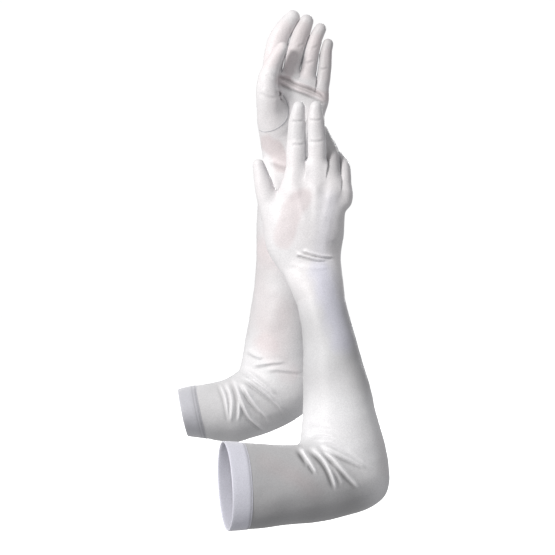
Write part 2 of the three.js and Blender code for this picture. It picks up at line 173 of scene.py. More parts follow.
# ---------------------------------------------------------------- surface nets
def surface_nets(F, origin, h):
    """Quads around the zero level of F, which is below 0 inside."""
    nx, ny, nz = F.shape
    inside = F < 0
    acc = np.zeros((nx - 1, ny - 1, nz - 1, 3))
    cnt = np.zeros((nx - 1, ny - 1, nz - 1))
    for ax in range(3):
        sl0 = [slice(None)] * 3
        sl1 = [slice(None)] * 3
        sl0[ax], sl1[ax] = slice(None, -1), slice(1, None)
        A, B = F[tuple(sl0)], F[tuple(sl1)]
        i, j, k = np.nonzero((A < 0) != (B < 0))
        a, b = A[i, j, k], B[i, j, k]
        t = a / (a - b)
        P = np.stack([i, j, k], 1).astype(float)
        P[:, ax] += t
        o1, o2 = [x for x in range(3) if x != ax]
        for d1 in (0, -1):
            for d2 in (0, -1):
                c = np.stack([i, j, k], 1)
                c[:, o1] += d1
                c[:, o2] += d2
                ok = ((c >= 0) & (c < np.array(cnt.shape))).all(1)
                np.add.at(acc, tuple(c[ok].T), P[ok])
                np.add.at(cnt, tuple(c[ok].T), 1)
    live = cnt > 0
    index = np.full(cnt.shape, -1)
    index[live] = np.arange(live.sum())
    v = acc[live] / cnt[live][:, None] * h + origin
    faces = []
    for ax in range(3):
        sl0 = [slice(None)] * 3
        sl1 = [slice(None)] * 3
        sl0[ax], sl1[ax] = slice(None, -1), slice(1, None)
        A, B = inside[tuple(sl0)], inside[tuple(sl1)]
        i, j, k = np.nonzero(A != B)
        flip = A[i, j, k]
        o1, o2 = [(1, 2), (2, 0), (0, 1)][ax]
        quad = []
        good = np.ones(len(i), bool)
        for d1, d2 in ((-1, -1), (0, -1), (0, 0), (-1, 0)):
            c = np.stack([i, j, k], 1)
            c[:, o1] += d1
            c[:, o2] += d2
            ok = ((c >= 0) & (c < np.array(index.shape))).all(1)
            good &= ok
            c[~ok] = 0
            quad.append(index[tuple(c.T)])
        quad = np.stack(quad, 1)
        quad[~flip] = quad[~flip][:, ::-1]
        faces.append(quad[good])
    return v, np.concatenate(faces)


def relax(v, f, times, k=0.5, keep=None):
    """Taubin smoothing on quad edges. keep: points left where they are."""
    e = np.concatenate([f[:, [i, (i + 1) % 4]] for i in range(4)])
    e = np.unique(np.sort(e, 1), axis=0)
    deg = np.zeros(len(v))
    np.add.at(deg, e[:, 0], 1)
    np.add.at(deg, e[:, 1], 1)
    deg = np.maximum(deg, 1)[:, None]
    for i in range(times):
        for w in (k, -k * 1.04):
            s = np.zeros_like(v)
            np.add.at(s, e[:, 0], v[e[:, 1]])
            np.add.at(s, e[:, 1], v[e[:, 0]])
            step = w * (s / deg - v)
            if keep is not None:
                step[keep] = 0
            v = v + step
    return v


def smin(a, b, k):
    h = np.clip(0.5 + 0.5 * (b - a) / k, 0, 1)
    return b + (a - b) * h - k * h * (1 - h)


def smax(a, b, k):
    return -smin(-a, -b, k)


# ---------------------------------------------------------------- one glove
class Chain:
    """A finger: straight in the neutral hand, and along a given curve on the wearer."""

    def __init__(self, base, direction, lateral, radii, tip, path, s_root):
        self.p = np.array(base, float)
        self.t = unit(direction)
        lat = np.array(lateral, float)
        self.l = unit(lat - (lat @ self.t) * self.t)
        self.d = np.cross(self.t, self.l)
        self.radii = np.array(radii, float)
        self.tip = tip
        self.end = self.radii[-1, 0]
        self.s_root = s_root
        # the worn curve, by arc length
        q = np.array(path, float)
        u = np.linspace(0, len(q) - 1, 40 * (len(q) - 1) + 1)
        c = np.stack([np.interp(u, np.arange(len(q)), q[:, k]) for k in range(3)], 1)
        c = gauss(c, 13)
        s = np.concatenate([[0], np.cumsum(np.linalg.norm(np.diff(c, axis=0), axis=1))])
        self.scale = s[-1] / self.end
        self.ss = s / self.scale
        self.c = c
        t, l, d = frames_of(c, np.repeat(lat[None], len(c), 0))
        self.ct, self.cl, self.cd = t, l, d

    def local(self, v):
        w = v - self.p
        return w @ self.t, w @ self.l, w @ self.d

    def rho(self, v):
        s, x, y = self.local(v)
        a = np.interp(s, self.radii[:, 0], self.radii[:, 1])
        b = np.interp(s, self.radii[:, 0], self.radii[:, 2])
        over = np.maximum(s - self.end, 0) / self.tip
        under = np.maximum(-s, 0) / 10.0
        return np.sqrt((x / a) ** 2 + (y / b) ** 2 + over**2 + under**2), np.sqrt(a * b), s

    def field(self, v):
        r, k, _ = self.rho(v)
        return (r - 1) * k

    def at(self, s):
        """Centre and frame of the worn curve at arc s, running on straight past its ends."""
        out = []
        for A in (self.c, self.ct, self.cl, self.cd):
            out.append(np.stack([np.interp(s, self.ss, A[:, k]) for k in range(3)], 1))
        c, t, l, d = out
        t, l, d = unit(t), unit(l), unit(d)
        extra = np.where(s > self.ss[-1], s - self.ss[-1], np.where(s < 0, s, 0))
        return c + t * extra[:, None], t, l, d

    def worn(self, v):
        s, x, y = self.local(v)
        c, t, l, d = self.at(s)
        return c + l * x[:, None] + d * y[:, None]


class Glove:
    def __init__(self, g):
        self.g = g
        self.H = np.array(g["elbow"], float)
        O = np.array(g["opening"], float)
        W = np.array(g["wrist"], float)
        self.W = W
        self.U, self.F = unit(self.H - O), unit(W - self.H)
        self.N = unit(np.cross(self.U, self.F))
        self.V = np.cross(self.N, self.U)
        self.M = np.cross(self.N, self.F)
        self.LU, self.LF = np.linalg.norm(self.H - O), np.linalg.norm(W - self.H)
        self.cut = self.LF - 45.0

    # -- the sleeve's rings, from the hem to below the wrist
    def rings(self):
        g = self.g
        step = 1.15
        Q = self.H + self.U * g["pivot"][0] + self.V * g["pivot"][1]
        qf = (Q - self.H) @ self.F
        rows = []
        n = int((self.LU + g["pivot"][0]) / step)
        for u in np.linspace(-self.LU, g["pivot"][0], n + 1)[:-1]:
            off, a, b = (x for x in look(g["upper"], u))
            rows.append([*(self.H + self.U * u + self.V * off), *self.V, a, b])
        top = g["fan"][-1][0]
        m = int(top * (1.0))
        for deg in np.linspace(0, top, m + 1)[:-1]:
            rin, rout, b = look(g["fan"], deg)
            r = math.radians(deg)
            out = -self.V * math.cos(r) + self.U * math.sin(r)
            rows.append([*(Q + out * (rin + rout) / 2), *(-out), (rout - rin) / 2, b])
        last = self.cut + 3.0
        k = int((last - qf) / step)
        for f in np.linspace(qf, last, k + 1):
            off, a, b = look(g["forearm"], f)
            rows.append([*(self.H + self.F * f + self.M * off), *self.M, a, b])
        R = np.array(rows, float)
        # even out the kinks between table rows, but leave both end rings in their planes
        S = gauss(R, 4.0)
        i = np.arange(len(R))
        w = (band(i, 0, 8) * (1 - band(i, len(R) - 9, len(R) - 1)))[:, None]
        R = R * (1 - w) + S * w
        c, e1 = R[:, :3], unit(R[:, 3:6])
        e2 = np.repeat(self.N[None], len(R), 0)
        length = np.concatenate([[0], np.cumsum(np.linalg.norm(np.diff(c, axis=0), axis=1))])
        return c, e1, e2, R[:, 6], R[:, 7], length, (n, n + m)

    # -- the hand's field, in the neutral spread
    def palm_samples(self):
        g = self.g
        rows = []
        for f in (self.cut - 14, self.cut - 5, self.cut + 3, self.cut + 11, self.cut + 19):
            off, a, b = look(g["forearm"], f)
            rows.append([*(self.H + self.F * f + self.M * off), a, b, 2.0])
        for x, y, z, a, b, p in g["hand"]:
            rows.append([x, y, z, a, b, p])
        R = np.array(rows, float)
        d = np.concatenate([[0], np.cumsum(np.linalg.norm(np.diff(R[:, :3], axis=0), axis=1))])
        u = np.arange(0, d[-1], 1.0)
        S = np.stack([np.interp(u, d, R[:, k]) for k in range(6)], 1)
        S = gauss(S, 5.0)
        w = band(u, d[3], d[6])[:, None]
        e1 = unit(self.M * (1 - w) + np.array([-1.0, 0, 0]) * w)
        t, e1, e2 = frames_of(S[:, :3], e1)
        return S, t, e1, e2, u

    def hand(self):
        g = self.g
        S, T, E1, E2, U = self.palm_samples()
        chains = self.chains()
        pts = [S[:, :3]]
        for c in chains.values():
            pts += [c.p[None], (c.p + c.t * (c.end + c.tip))[None]]
        P = np.concatenate(pts)
        lo = P.min(0) - 26
        hi = P.max(0) + 26
        lo[0], hi[0] = min(lo[0], S[:, 0].min() - 48), max(hi[0], S[:, 0].max() + 48)
        lo[2] = S[0, 2] - 12
        h = VOXEL
        n = np.ceil((hi - lo) / h).astype(int) + 1
        F = np.full(n, 60.0)
        axes = [lo[k] + h * np.arange(n[k]) for k in range(3)]

        def region(a, b):
            i = [slice(max(0, int((a[k] - lo[k]) / h)), min(n[k], int((b[k] - lo[k]) / h) + 2)) for k in range(3)]
            X = np.stack(np.meshgrid(*[axes[k][i[k]] for k in range(3)], indexing="ij"), -1)
            return tuple(i), X.reshape(-1, 3), X.shape[:3]

        # palm and wrist: a swept superellipse
        i, X, shape = region(S[:, :3].min(0) - [48, 34, 30], S[:, :3].max(0) + [48, 34, 30])
        near = np.zeros(len(X), int)
        for c0 in range(0, len(X), 40000):
            x = X[c0 : c0 + 40000]
            # nearest station by its own plane, then by distance
            d2 = ((x[:, None] - S[None, ::3, :3]) ** 2).sum(2)
            near[c0 : c0 + 40000] = d2.argmin(1) * 3
        w = X - S[near, :3]
        s = U[near] + (w * T[near]).sum(1)
        for _ in range(2):
            near = np.clip(np.round(s).astype(int), 0, len(U) - 1)
            w = X - S[near, :3]
            s = U[near] + (w * T[near]).sum(1)
        sc = np.clip(s, 0, U[-1])
        C = np.stack([np.interp(sc, U, S[:, k]) for k in range(6)], 1)
        e1 = unit(np.stack([np.interp(sc, U, E1[:, k]) for k in range(3)], 1))
        e2 = unit(np.stack([np.interp(sc, U, E2[:, k]) for k in range(3)], 1))
        w = X - C[:, :3]
        x, y = (w * e1).sum(1), (w * e2).sum(1)
        b = C[:, 4]
        rho = (np.abs(x / C[:, 3]) ** C[:, 5] + np.abs(y / b) ** C[:, 5]) ** (1 / C[:, 5])
        f = (rho - 1) * b
        # true distance needs the slope: flatter along the wide way
        gx = np.abs(x) / C[:, 3] ** 2
        gy = np.abs(y) / b**2
        slope = np.sqrt(gx**2 + gy**2) / np.maximum(gx * np.abs(x) + gy * np.abs(y), 1e-6) * np.maximum(rho, 0.3)
        f = (rho - 1) / np.maximum(slope, 0.02)
        f = np.clip(f, -20, 40)
        top = np.array(g["web"], float)
        f = smax(f, X[:, 2] - np.interp(X[:, 0], top[:, 0], top[:, 1]) - 1.5, 10.0)
        F[i] = f.reshape(shape)
        # pads under the thumb and along the little finger's side, and the knuckles
        for cx, cy, cz, rx, ry, rz, k in g["pads"]:
            i, X, shape = region(np.array([cx - rx - 12, cy - ry - 12, cz - rz - 12]), np.array([cx + rx + 12, cy + ry + 12, cz + rz + 12]))
            q = (X - [cx, cy, cz]) / [rx, ry, rz]
            r = np.linalg.norm(q, axis=1)
            f = (r - 1) * min(rx, ry, rz)
            F[i] = smin(F[i], f.reshape(shape), k)
        fingers = None
        for name, c in chains.items():
            e = c.p + c.t * (c.end + c.tip)
            a = np.minimum(c.p, e) - 22
            b2 = np.maximum(c.p, e) + 22
            i, X, shape = region(a, b2)
            f = np.clip(c.field(X), -20, 40).reshape(shape)
            F[i] = smin(F[i], f, g["thumb_join"] if name == "thumb" else 4.6)
        v, q = surface_nets(F, lo, h)
        v = relax(v, q, 4)
        return v, q, chains

    def chains(self):
        g = self.g
        lat = np.array([-1.0, 0, 0])
        out = {}
        for name, c in g["chains"].items():
            a = math.radians(c["tilt"])
            direction = c.get("dir") or [math.sin(a), 0, math.cos(a)]
            out[name] = Chain(c["path"][0], direction, c.get("lat", lat), c["radii"], c["tip"], c["path"], c["root"])
        return out

    # -- from the neutral hand to the worn one
    def wear(self, v, chains):
        names = [n for n in chains if n != "thumb"] + ["thumb"]
        rho = {n: chains[n].rho(v) for n in names}
        beta = 5.0
        w = {n: np.exp(-beta * np.clip(rho[n][0] ** 2, 0, 30)) for n in names}
        total = sum(w.values()) + math.exp(-beta * 1.75**2)
        moved = np.zeros_like(v)
        label = np.full(len(v), -1)
        best = np.full(len(v), 0.5)
        arc = np.zeros(len(v))
        for k, n in enumerate(names):
            share = w[n] / total
            s = rho[n][2]
            on = band(s, 0.0, chains[n].s_root + 2.0)
            moved += (share * on)[:, None] * (chains[n].worn(v) - v)
            hit = share > best
            label = np.where(hit, k, label)
            arc = np.where(hit, s, arc)
            best = np.where(hit, share, best)
        return v + moved, label, arc, names


RIGHT = dict(
    side="right",
    palm_front=False,
    opening=[0, 0, 0],
    elbow=[125.5, 32, 0],
    wrist=[89.3, 122, 226.6],
    upper=[[-130, 0, 47, 31], [-98, -0.3, 44.8, 32.5], [-80, -0.2, 43, 34], [-60, 0, 41.6, 35], [-50, 1, 41, 36]],
    pivot=[-50, 48],
    fan=[[0, 6, 88, 36], [13, 5, 88.2, 37], [26, 4.5, 91.6, 38.4], [38, 4.2, 98.0, 39.4], [47, 4, 105.2, 40], [54, 4.2, 109.4, 40], [61, 4.2, 107.8, 40], [70, 4.5, 102.2, 39.6], [81, 5, 95.6, 39], [93, 5.9, 91.9, 38.5]],
    forearm=[[50.5, -1.5, 43, 38.5], [80, -3.9, 38.2, 36.5], [114, -5.4, 33.9, 33], [142, -6.1, 30.2, 30], [160, -6.3, 28.0, 27], [182, -5.6, 26, 23.6], [205, -4.3, 25.9, 21.8], [228, -2.8, 30, 21], [247, -1.3, 32.6, 20.5]],
    hand=[
        [89.9, 121.5, 226.6, 31.8, 20.3, 2.0],
        [84.9, 122, 237.3, 33.8, 20, 2.1],
        [81.7, 122, 248.6, 36.8, 19.6, 2.2],
        [82, 122, 258.5, 38.2, 19.2, 2.3],
        [83.6, 122, 269.1, 38.9, 18.2, 2.3],
        [86.5, 122, 280, 37.6, 17, 2.4],
        [90, 122, 292.5, 37.0, 15.6, 2.4],
        [92.6, 122, 304.2, 36.8, 14.4, 2.4],
        [95, 122, 315, 35.6, 12.2, 2.4],
        [96.6, 122, 326, 34.8, 9.8, 2.3],
        [97, 122, 342, 34.4, 7.6, 2.2],
    ],
    web=[[60, 327], [72, 335], [84, 337.5], [105, 335], [112, 327], [120, 319], [132, 311]],
    pads=[
        [55, 130, 262, 15, 12, 30, 8.0],
        [112, 128, 262, 12, 11, 30, 7.0],
        [71.5, 117.5, 304, 9, 8.5, 11, 6.0],
        [93.5, 116.5, 308, 9, 8.5, 11, 6.0],
        [111.5, 117.5, 303, 8, 8.5, 10, 6.0],
    ],
    thumb_join=8.0,
    chains=dict(
        index=dict(tilt=-9, root=26, tip=7.6, path=[[71.3, 122, 304], [73.4, 122, 331], [73.6, 122, 348.9], [73.9, 122, 364], [74.5, 122, 381], [76.3, 122, 393.4]], radii=[[0, 11, 12], [24, 10.6, 9.9], [40, 10.8, 9.4], [50, 10.5, 9.1], [62, 9.8, 8.6], [76, 8.9, 8.0], [84, 7.8, 7.5], [89.5, 6.9, 6.9]]),
        middle=dict(tilt=1, root=22, tip=7.6, path=[[93.6, 122, 308], [95.2, 122, 330], [95.4, 122, 345], [94.9, 122, 360], [93.8, 122, 378.6], [94.8, 122, 393.4]], radii=[[0, 11, 12], [22, 10.4, 9.9], [36, 10.6, 9.4], [50, 10.3, 9.1], [64, 9.5, 8.4], [74, 8.6, 7.9], [80, 7.6, 7.4], [85.5, 6.8, 6.8]]),
        ring=dict(tilt=10, root=20, tip=7.0, path=[[111.8, 122.5, 303], [112.8, 123.5, 325], [112.9, 130.5, 339.5], [111.6, 141, 347.5], [108.2, 152, 356.5], [104.4, 162, 366], [102.8, 166, 370.5]], radii=[[0, 10, 11], [22, 8.0, 9.4], [34, 7.5, 9.0], [48, 7.2, 8.7], [62, 6.9, 8.0], [74, 6.4, 7.3], [82, 5.8, 6.4]]),
        little=dict(tilt=21, root=18, tip=6.2, path=[[124.0, 123, 295], [125.7, 123.5, 315.5], [125.8, 128.5, 327.5], [124.7, 138, 334.2], [122.2, 149, 338.6], [119.6, 157.5, 343]], radii=[[0, 9, 10], [19, 6.6, 8.4], [30, 6.1, 8.0], [42, 5.9, 7.6], [54, 5.6, 6.9], [63, 5.1, 6.1]]),
        thumb=dict(tilt=0, dir=[-0.42, 0.06, 0.905], root=34, tip=6.0, lat=[-1, 0, 0], path=[[61, 126, 262], [52, 127, 277], [45, 128, 291], [40.8, 128, 305.3], [37.6, 128, 317], [34.8, 128, 328], [33.4, 128, 333.2]], radii=[[0, 15, 13], [16, 14, 13], [32, 12, 12], [44, 11, 11], [56, 9.9, 10.2], [67, 8.0, 8.6], [76, 6.3, 6.8]]),
    ),
)
LEFT = dict(
    side="left",
    palm_front=True,
    opening=[-52.2, 294, 62.1],
    elbow=[61, 294, 86.1],
    wrist=[65.5, 294, 333.7],
    upper=[[-116, 0, 26.4, 50], [-99, -2.8, 29.4, 47.5], [-84, -6.6, 32.6, 45], [-62, -10, 36, 42], [-45, -5.6, 38, 40.5]],
    pivot=[-45, 41],
    fan=[[0, 8.5, 84.6, 40.5], [11, 7, 84.8, 40.3], [22, 6, 86.5, 40.2], [33, 5.2, 90, 40], [44, 4.8, 95, 40], [55, 4.6, 97.5, 39.6], [66, 4.6, 94.5, 39], [77, 4.7, 88.5, 38.5]],
    forearm=[[29.7, 6.5, 42, 38.5], [55, 4.6, 40.2, 37.5], [80, 3.2, 37.8, 35.8], [110, 2, 33.8, 32.4], [145, 3.3, 30.2, 28], [180, 5.6, 28.4, 24], [206, 5.4, 28, 22.2], [228, 2, 29.6, 21.2], [248, -1, 31.4, 20.6]],
    hand=[
        [67.8, 294, 333.7, 31.0, 20.4, 2.0],
        [70, 294, 345, 33.0, 20.0, 2.1],
        [70.8, 294, 355.7, 35.0, 19.4, 2.2],
        [70.2, 294, 368, 36.0, 18.6, 2.3],
        [69.4, 294, 382, 36.6, 17.2, 2.3],
        [69.2, 294, 396, 37.0, 15.8, 2.4],
        [70.4, 294, 408, 37.4, 14.4, 2.4],
        [72.6, 294, 419, 38.0, 12.8, 2.4],
        [74.8, 294, 431, 38.4, 10.6, 2.3],
        [77, 294, 448, 38.4, 7.8, 2.2],
    ],
    web=[[34, 434], [46, 440], [57.6, 442.5], [77.8, 441.5], [88, 438.5], [95.7, 434.5], [106, 428], [114, 422]],
    pads=[
        [52, 283, 384, 16, 12, 24, 8.0],
        [92, 284.5, 376, 12, 11, 28, 7.0],
        [62, 288, 424, 10, 8, 9, 6.0],
        [80, 288, 423, 10, 8, 9, 6.0],
    ],
    thumb_join=8.0,
    chains=dict(
        index=dict(tilt=-1, root=26, tip=8.4, path=[[44, 294, 417], [47, 294, 440.5], [48.8, 294, 452], [50.6, 294, 464], [53, 294, 475], [56.8, 294, 485.4], [62.4, 294, 494.6], [70.6, 294, 504.6]], radii=[[0, 11, 12], [24, 11.0, 9.9], [38, 11.5, 9.6], [50, 11.9, 9.4], [60, 11.7, 9.2], [72, 10.6, 8.9], [82, 9.5, 8.3], [90, 8.2, 7.6]]),
        middle=dict(tilt=10, root=24, tip=7.6, path=[[63.6, 294, 417], [68.0, 294, 439], [70.8, 294, 455], [74.0, 294, 468], [77.4, 294, 480], [81.8, 294, 490.6], [86.2, 294, 500.2]], radii=[[0, 11, 12], [22, 9.5, 9.9], [36, 9.8, 9.4], [50, 10.1, 9.2], [62, 9.8, 8.8], [72, 9.6, 8.4], [80, 8.9, 7.9], [86, 7.8, 7.2]]),
        ring=dict(tilt=20, root=24, tip=7.0, path=[[82, 294, 412], [87.0, 294, 437], [89.8, 294, 454], [92.6, 294, 468], [95.6, 294, 479], [100, 294, 488.6], [101.6, 294, 491.6]], radii=[[0, 10.5, 11], [22, 9.3, 9.4], [36, 9.1, 9.0], [50, 8.4, 8.7], [60, 8.0, 8.2], [72, 7.4, 7.5], [80, 6.5, 6.7]]),
        little=dict(tilt=30, root=21, tip=6.6, path=[[99, 294, 406], [104.4, 294, 430], [106.4, 294, 446], [107.4, 294, 457], [108.2, 294, 466], [110, 294, 474.6]], radii=[[0, 9.5, 10], [20, 8.1, 8.6], [32, 7.8, 8.1], [44, 7.4, 7.7], [56, 6.9, 7.0], [68, 6.1, 6.2]]),
        thumb=dict(tilt=0, dir=[-0.52, -0.52, 0.68], root=34, tip=7.2, lat=[-0.9, 0.35, 0], path=[[53, 287, 384], [48, 279.5, 396], [43.4, 271.5, 410], [41.8, 268, 424], [42.8, 268, 435], [46.6, 268.8, 447.5], [53, 270, 459.8], [58.8, 270.6, 468.6]], radii=[[0, 16, 15], [16, 15, 14], [30, 13.4, 12.6], [42, 12.6, 11.8], [54, 11.4, 10.8], [68, 9.4, 9.0], [80, 7.7, 7.8], [92, 6.6, 6.6]]),
    ),
)


# ---------------------------------------------------------------- folds
def sleeve_folds(G, v, n, ring_s, phi):
    """Lift of each sleeve point, in mm."""
    out = np.zeros(len(v))
    if G.g["side"] == "right":
        for line, high, wide, side in (
            ([[74.7, 40.3], [83.9, 28.7], [94.1, 11.3]], 2.4, 1.9, 1),
            ([[85.9, 40.3], [93.6, 34.4], [101.0, 26.6], [107.4, 15.0], [114.2, -5.1]], 3.1, 2.0, 1),
            ([[95.1, 40.5], [101.0, 37.2], [110.5, 27.6], [120.1, 16.0], [126.8, 8.6], [139.1, -4.6]], 2.9, 2.0, 1),
            ([[95.1, 44.4], [103.1, 39.3], [112.5, 34.4], [124.3, 28.7], [133.0, 24.2], [146.3, 16.4]], 2.6, 1.9, 1),
            ([[94.6, 46.1], [105.4, 47.5], [113.5, 45.0]], 0.8, 1.7, 1),
            ([[81.8, 51.6], [93.1, 53.8], [104.3, 52.8], [114.6, 49.7]], 1.1, 1.9, 1),
            ([[80.8, 64.5], [92.1, 66.1], [104.3, 64.5], [113.5, 61.4]], 0.5, 2.2, 1),
            ([[77.7, 37.3], [81.8, 27.6], [84.9, 18.4]], 0.9, 1.6, 1),
            ([[122.7, 37.9], [134.0, 31.7], [144.2, 23.6]], 0.7, 2.2, 1),
            ([[107.4, 24.6], [115.6, 12.3], [120.7, 0.0]], 1.0, 1.9, 1),
        ):
            out += fold(v, n, line, 0, high, wide, side=side, both=True)
    else:
        for line, high, wide, side in (
            ([[22.5, 139.1], [30.7, 133.0], [38.9, 129.9]], 2.21, 1.60, 1),
            ([[25.6, 122.8], [37.8, 124.4], [51.1, 126.3], [62.4, 126.9]], 1.69, 1.70, 1),
            ([[41.9, 117.7], [50.1, 119.7], [64.4, 118.1], [78.8, 115.6]], 1.30, 1.70, 1),
            ([[16.4, 121.8], [26.6, 114.0], [39.9, 103.7], [53.2, 92.7]], 2.99, 2.00, 1),
            ([[16.4, 114.0], [30.7, 103.3], [47.1, 90.0], [62.4, 75.7]], 3.12, 1.90, 1),
            ([[15.3, 107.4], [23.5, 94.1], [34.8, 78.8], [47.1, 66.5]], 3.25, 1.90, 1),
            ([[11.3, 108.5], [16.4, 88.0], [24.5, 68.6], [41.9, 56.3]], 3.38, 1.80, 1),
            ([[7.2, 111.5], [12.3, 98.2], [14.9, 82.9], [13.3, 65.5]], 2.73, 1.60, 1),
            ([[-1.0, 107.4], [4.7, 97.2], [7.2, 86.0], [5.6, 64.0]], 2.34, 1.60, 1),
            ([[-6.5, 107.4], [-1.0, 95.2], [2.0, 82.9], [4.1, 64.0]], 1.95, 1.50, 1),
            ([[21.5, 110.5], [35.8, 100.3], [52.2, 86.0]], 1.43, 1.50, 1),
            ([[19.4, 100.3], [26.6, 86.0], [37.8, 71.6]], 1.56, 1.50, 1),
        ):
            out += fold(v, n, line, 0, high, wide, side=side, both=True)
    return out


def hand_folds(G, v, n):
    out = np.zeros(len(v))
    if G.g["side"] == "right":
        for line, high, wide in (
            ([[73.6, 237.7], [82.9, 234.7], [93.1, 231.8], [104.3, 231.2]], 1.9, 1.1),
            ([[79.8, 241.0], [91.0, 237.1], [101.3, 234.7], [111.5, 234.3]], 1.8, 1.1),
            ([[66.5, 228.1], [78.8, 224.7], [95.1, 223.0], [107.4, 224.0]], 0.35, 1.8),
        ):
            out += fold(v, n, line, 0, high, wide, valley=1.1, taper=(0.12, 0.12))
        for line, high, wide in (
            ([[69.6, 351.9], [75.7, 350.5], [80.8, 351.9]], 0.7, 1.3),
            ([[68.5, 375.4], [74.7, 374.2], [79.8, 375.4]], 0.6, 1.1),
            ([[86.9, 355.0], [93.1, 353.5], [100.2, 355.0]], 0.7, 1.3),
            ([[86.9, 376.5], [93.1, 375.2], [98.2, 376.5]], 0.6, 1.1),
        ):
            out += fold(v, n, line, 0, high, wide, valley=1.1, taper=(0.12, 0.12))
        # the tendons and the hollows between the knuckles
        q = front(v, 0)
        see = band((n * unit(EYE - v)).sum(1), 0.0, 0.4)
        for line, high in (
            ([[71.6, 308.9], [76.7, 286.4], [82.9, 266.0], [85.9, 249.6]], 0.55),
            ([[92.1, 311.0], [92.1, 288.5], [91.0, 266.0], [90.0, 249.6]], 0.6),
            ([[108.4, 304.8], [104.3, 284.4], [98.2, 263.9], [94.1, 249.6]], 0.5),
        ):
            d, t = to_line(q, line)
            out += high * np.exp(-((d / 3.6) ** 2)) * (1 - band(t, 0.1, 0.95)) * band(t, -0.01, 0.15) * see
    else:
        for line, high, wide in (
            ([[55.2, 421.5], [64.0, 418.8], [74.7, 412.3], [87.5, 408.2], [97.9, 403.0], [104.3, 397.3]], 2.2, 1.25),
            ([[56.3, 414.3], [65.5, 409.2], [75.7, 404.1], [88.0, 400.0], [98.2, 395.3], [104.3, 390.8]], 1.9, 1.25),
            ([[57.3, 407.1], [63.4, 400.0], [67.5, 389.7], [68.5, 378.5]], 0.7, 2.0),
            ([[52.7, 406.1], [57.7, 403.7], [58.7, 399.6], [54.2, 396.9]], 1.6, 1.2),
            ([[59.3, 417.4], [72.6, 409.8], [85.9, 404.7], [99.2, 398.5]], 0.9, 1.1),
            ([[37.8, 335.5], [44.0, 325.7], [48.7, 313.0], [54.2, 301.8]], 0.9, 2.6),
            ([[46.0, 333.5], [58.3, 328.4], [72.6, 326.3], [86.9, 328.4]], 0.7, 2.2),
        ):
            out += fold(v, n, line, 0, high, wide, valley=1.0, taper=(0.1, 0.1))
        for line, high, wide in (
            ([[67.5, 433.7], [73.6, 436.8]], 0.6, 1.2),
            ([[73.6, 451.1], [79.8, 453.6]], 0.5, 1.1),
            ([[82.9, 433.7], [90.0, 436.8]], 0.6, 1.2),
            ([[88.0, 449.1], [94.1, 451.5]], 0.5, 1.1),
            ([[97.2, 427.6], [104.3, 428.6]], 0.6, 1.1),
            ([[44.0, 423.5], [50.1, 418.4]], 0.5, 1.4),
            ([[37.8, 405.1], [44.0, 400.0], [53.2, 399.0]], 0.6, 1.8),
        ):
            out += fold(v, n, line, 0, high, wide, valley=1.1, taper=(0.12, 0.12))
    return out


# ---------------------------------------------------------------- meshes
def make(name, v, f, normals=None, attrs=None):
    me = bpy.data.meshes.new(name)
    vm = (np.asarray(v) * MM).astype(np.float32)
    f = np.asarray(f)
    me.vertices.add(len(vm))
    me.vertices.foreach_set("co", vm.ravel())
    k = f.shape[1]
    me.loops.add(f.size)
    me.loops.foreach_set("vertex_index", f.astype(np.int32).ravel())
    me.polygons.add(len(f))
    me.polygons.foreach_set("loop_start", np.arange(0, f.size, k, dtype=np.int32))
    me.update(calc_edges=True)
    me.polygons.foreach_set("use_smooth", np.ones(len(f), bool))
    if attrs:
        for key, val in attrs.items():
            val = np.asarray(val, np.float32)
            if val.ndim == 2:
                a = me.attributes.new(key, "FLOAT_VECTOR", "POINT")
                a.data.foreach_set("vector", val.ravel())
            else:
                a = me.attributes.new(key, "FLOAT", "POINT")
                a.data.foreach_set("value", val)
    if normals is not None:
        me.normals_split_custom_set_from_vertices([tuple(x) for x in normals])
    ob = bpy.data.objects.new(name, me)
    bpy.context.scene.collection.objects.link(ob)
    return ob


def take(v, f, keep_faces, *fields):
    """The faces asked for, with only their own points."""
    f = f[keep_faces]
    used = np.unique(f)
    back = np.full(len(v), -1)
    back[used] = np.arange(len(used))
    return v[used], back[f], used, [None if x is None else x[used] for x in fields]


def shell(v, f, n, thick):
    """Adds the lining side: the same surface set in by the cloth's thickness, facing in."""
    vv = np.concatenate([v, v - n * thick])
    ff = np.concatenate([f, f[:, ::-1] + len(v)])
    nn = np.concatenate([n, -n])
    return vv, ff, nn


PIECES = []


def finish_piece(ob, mat, nodes=()):
    ob.data.materials.append(mat)
    if nodes:
        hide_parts(*nodes)
    PIECES.append(ob)
    return ob


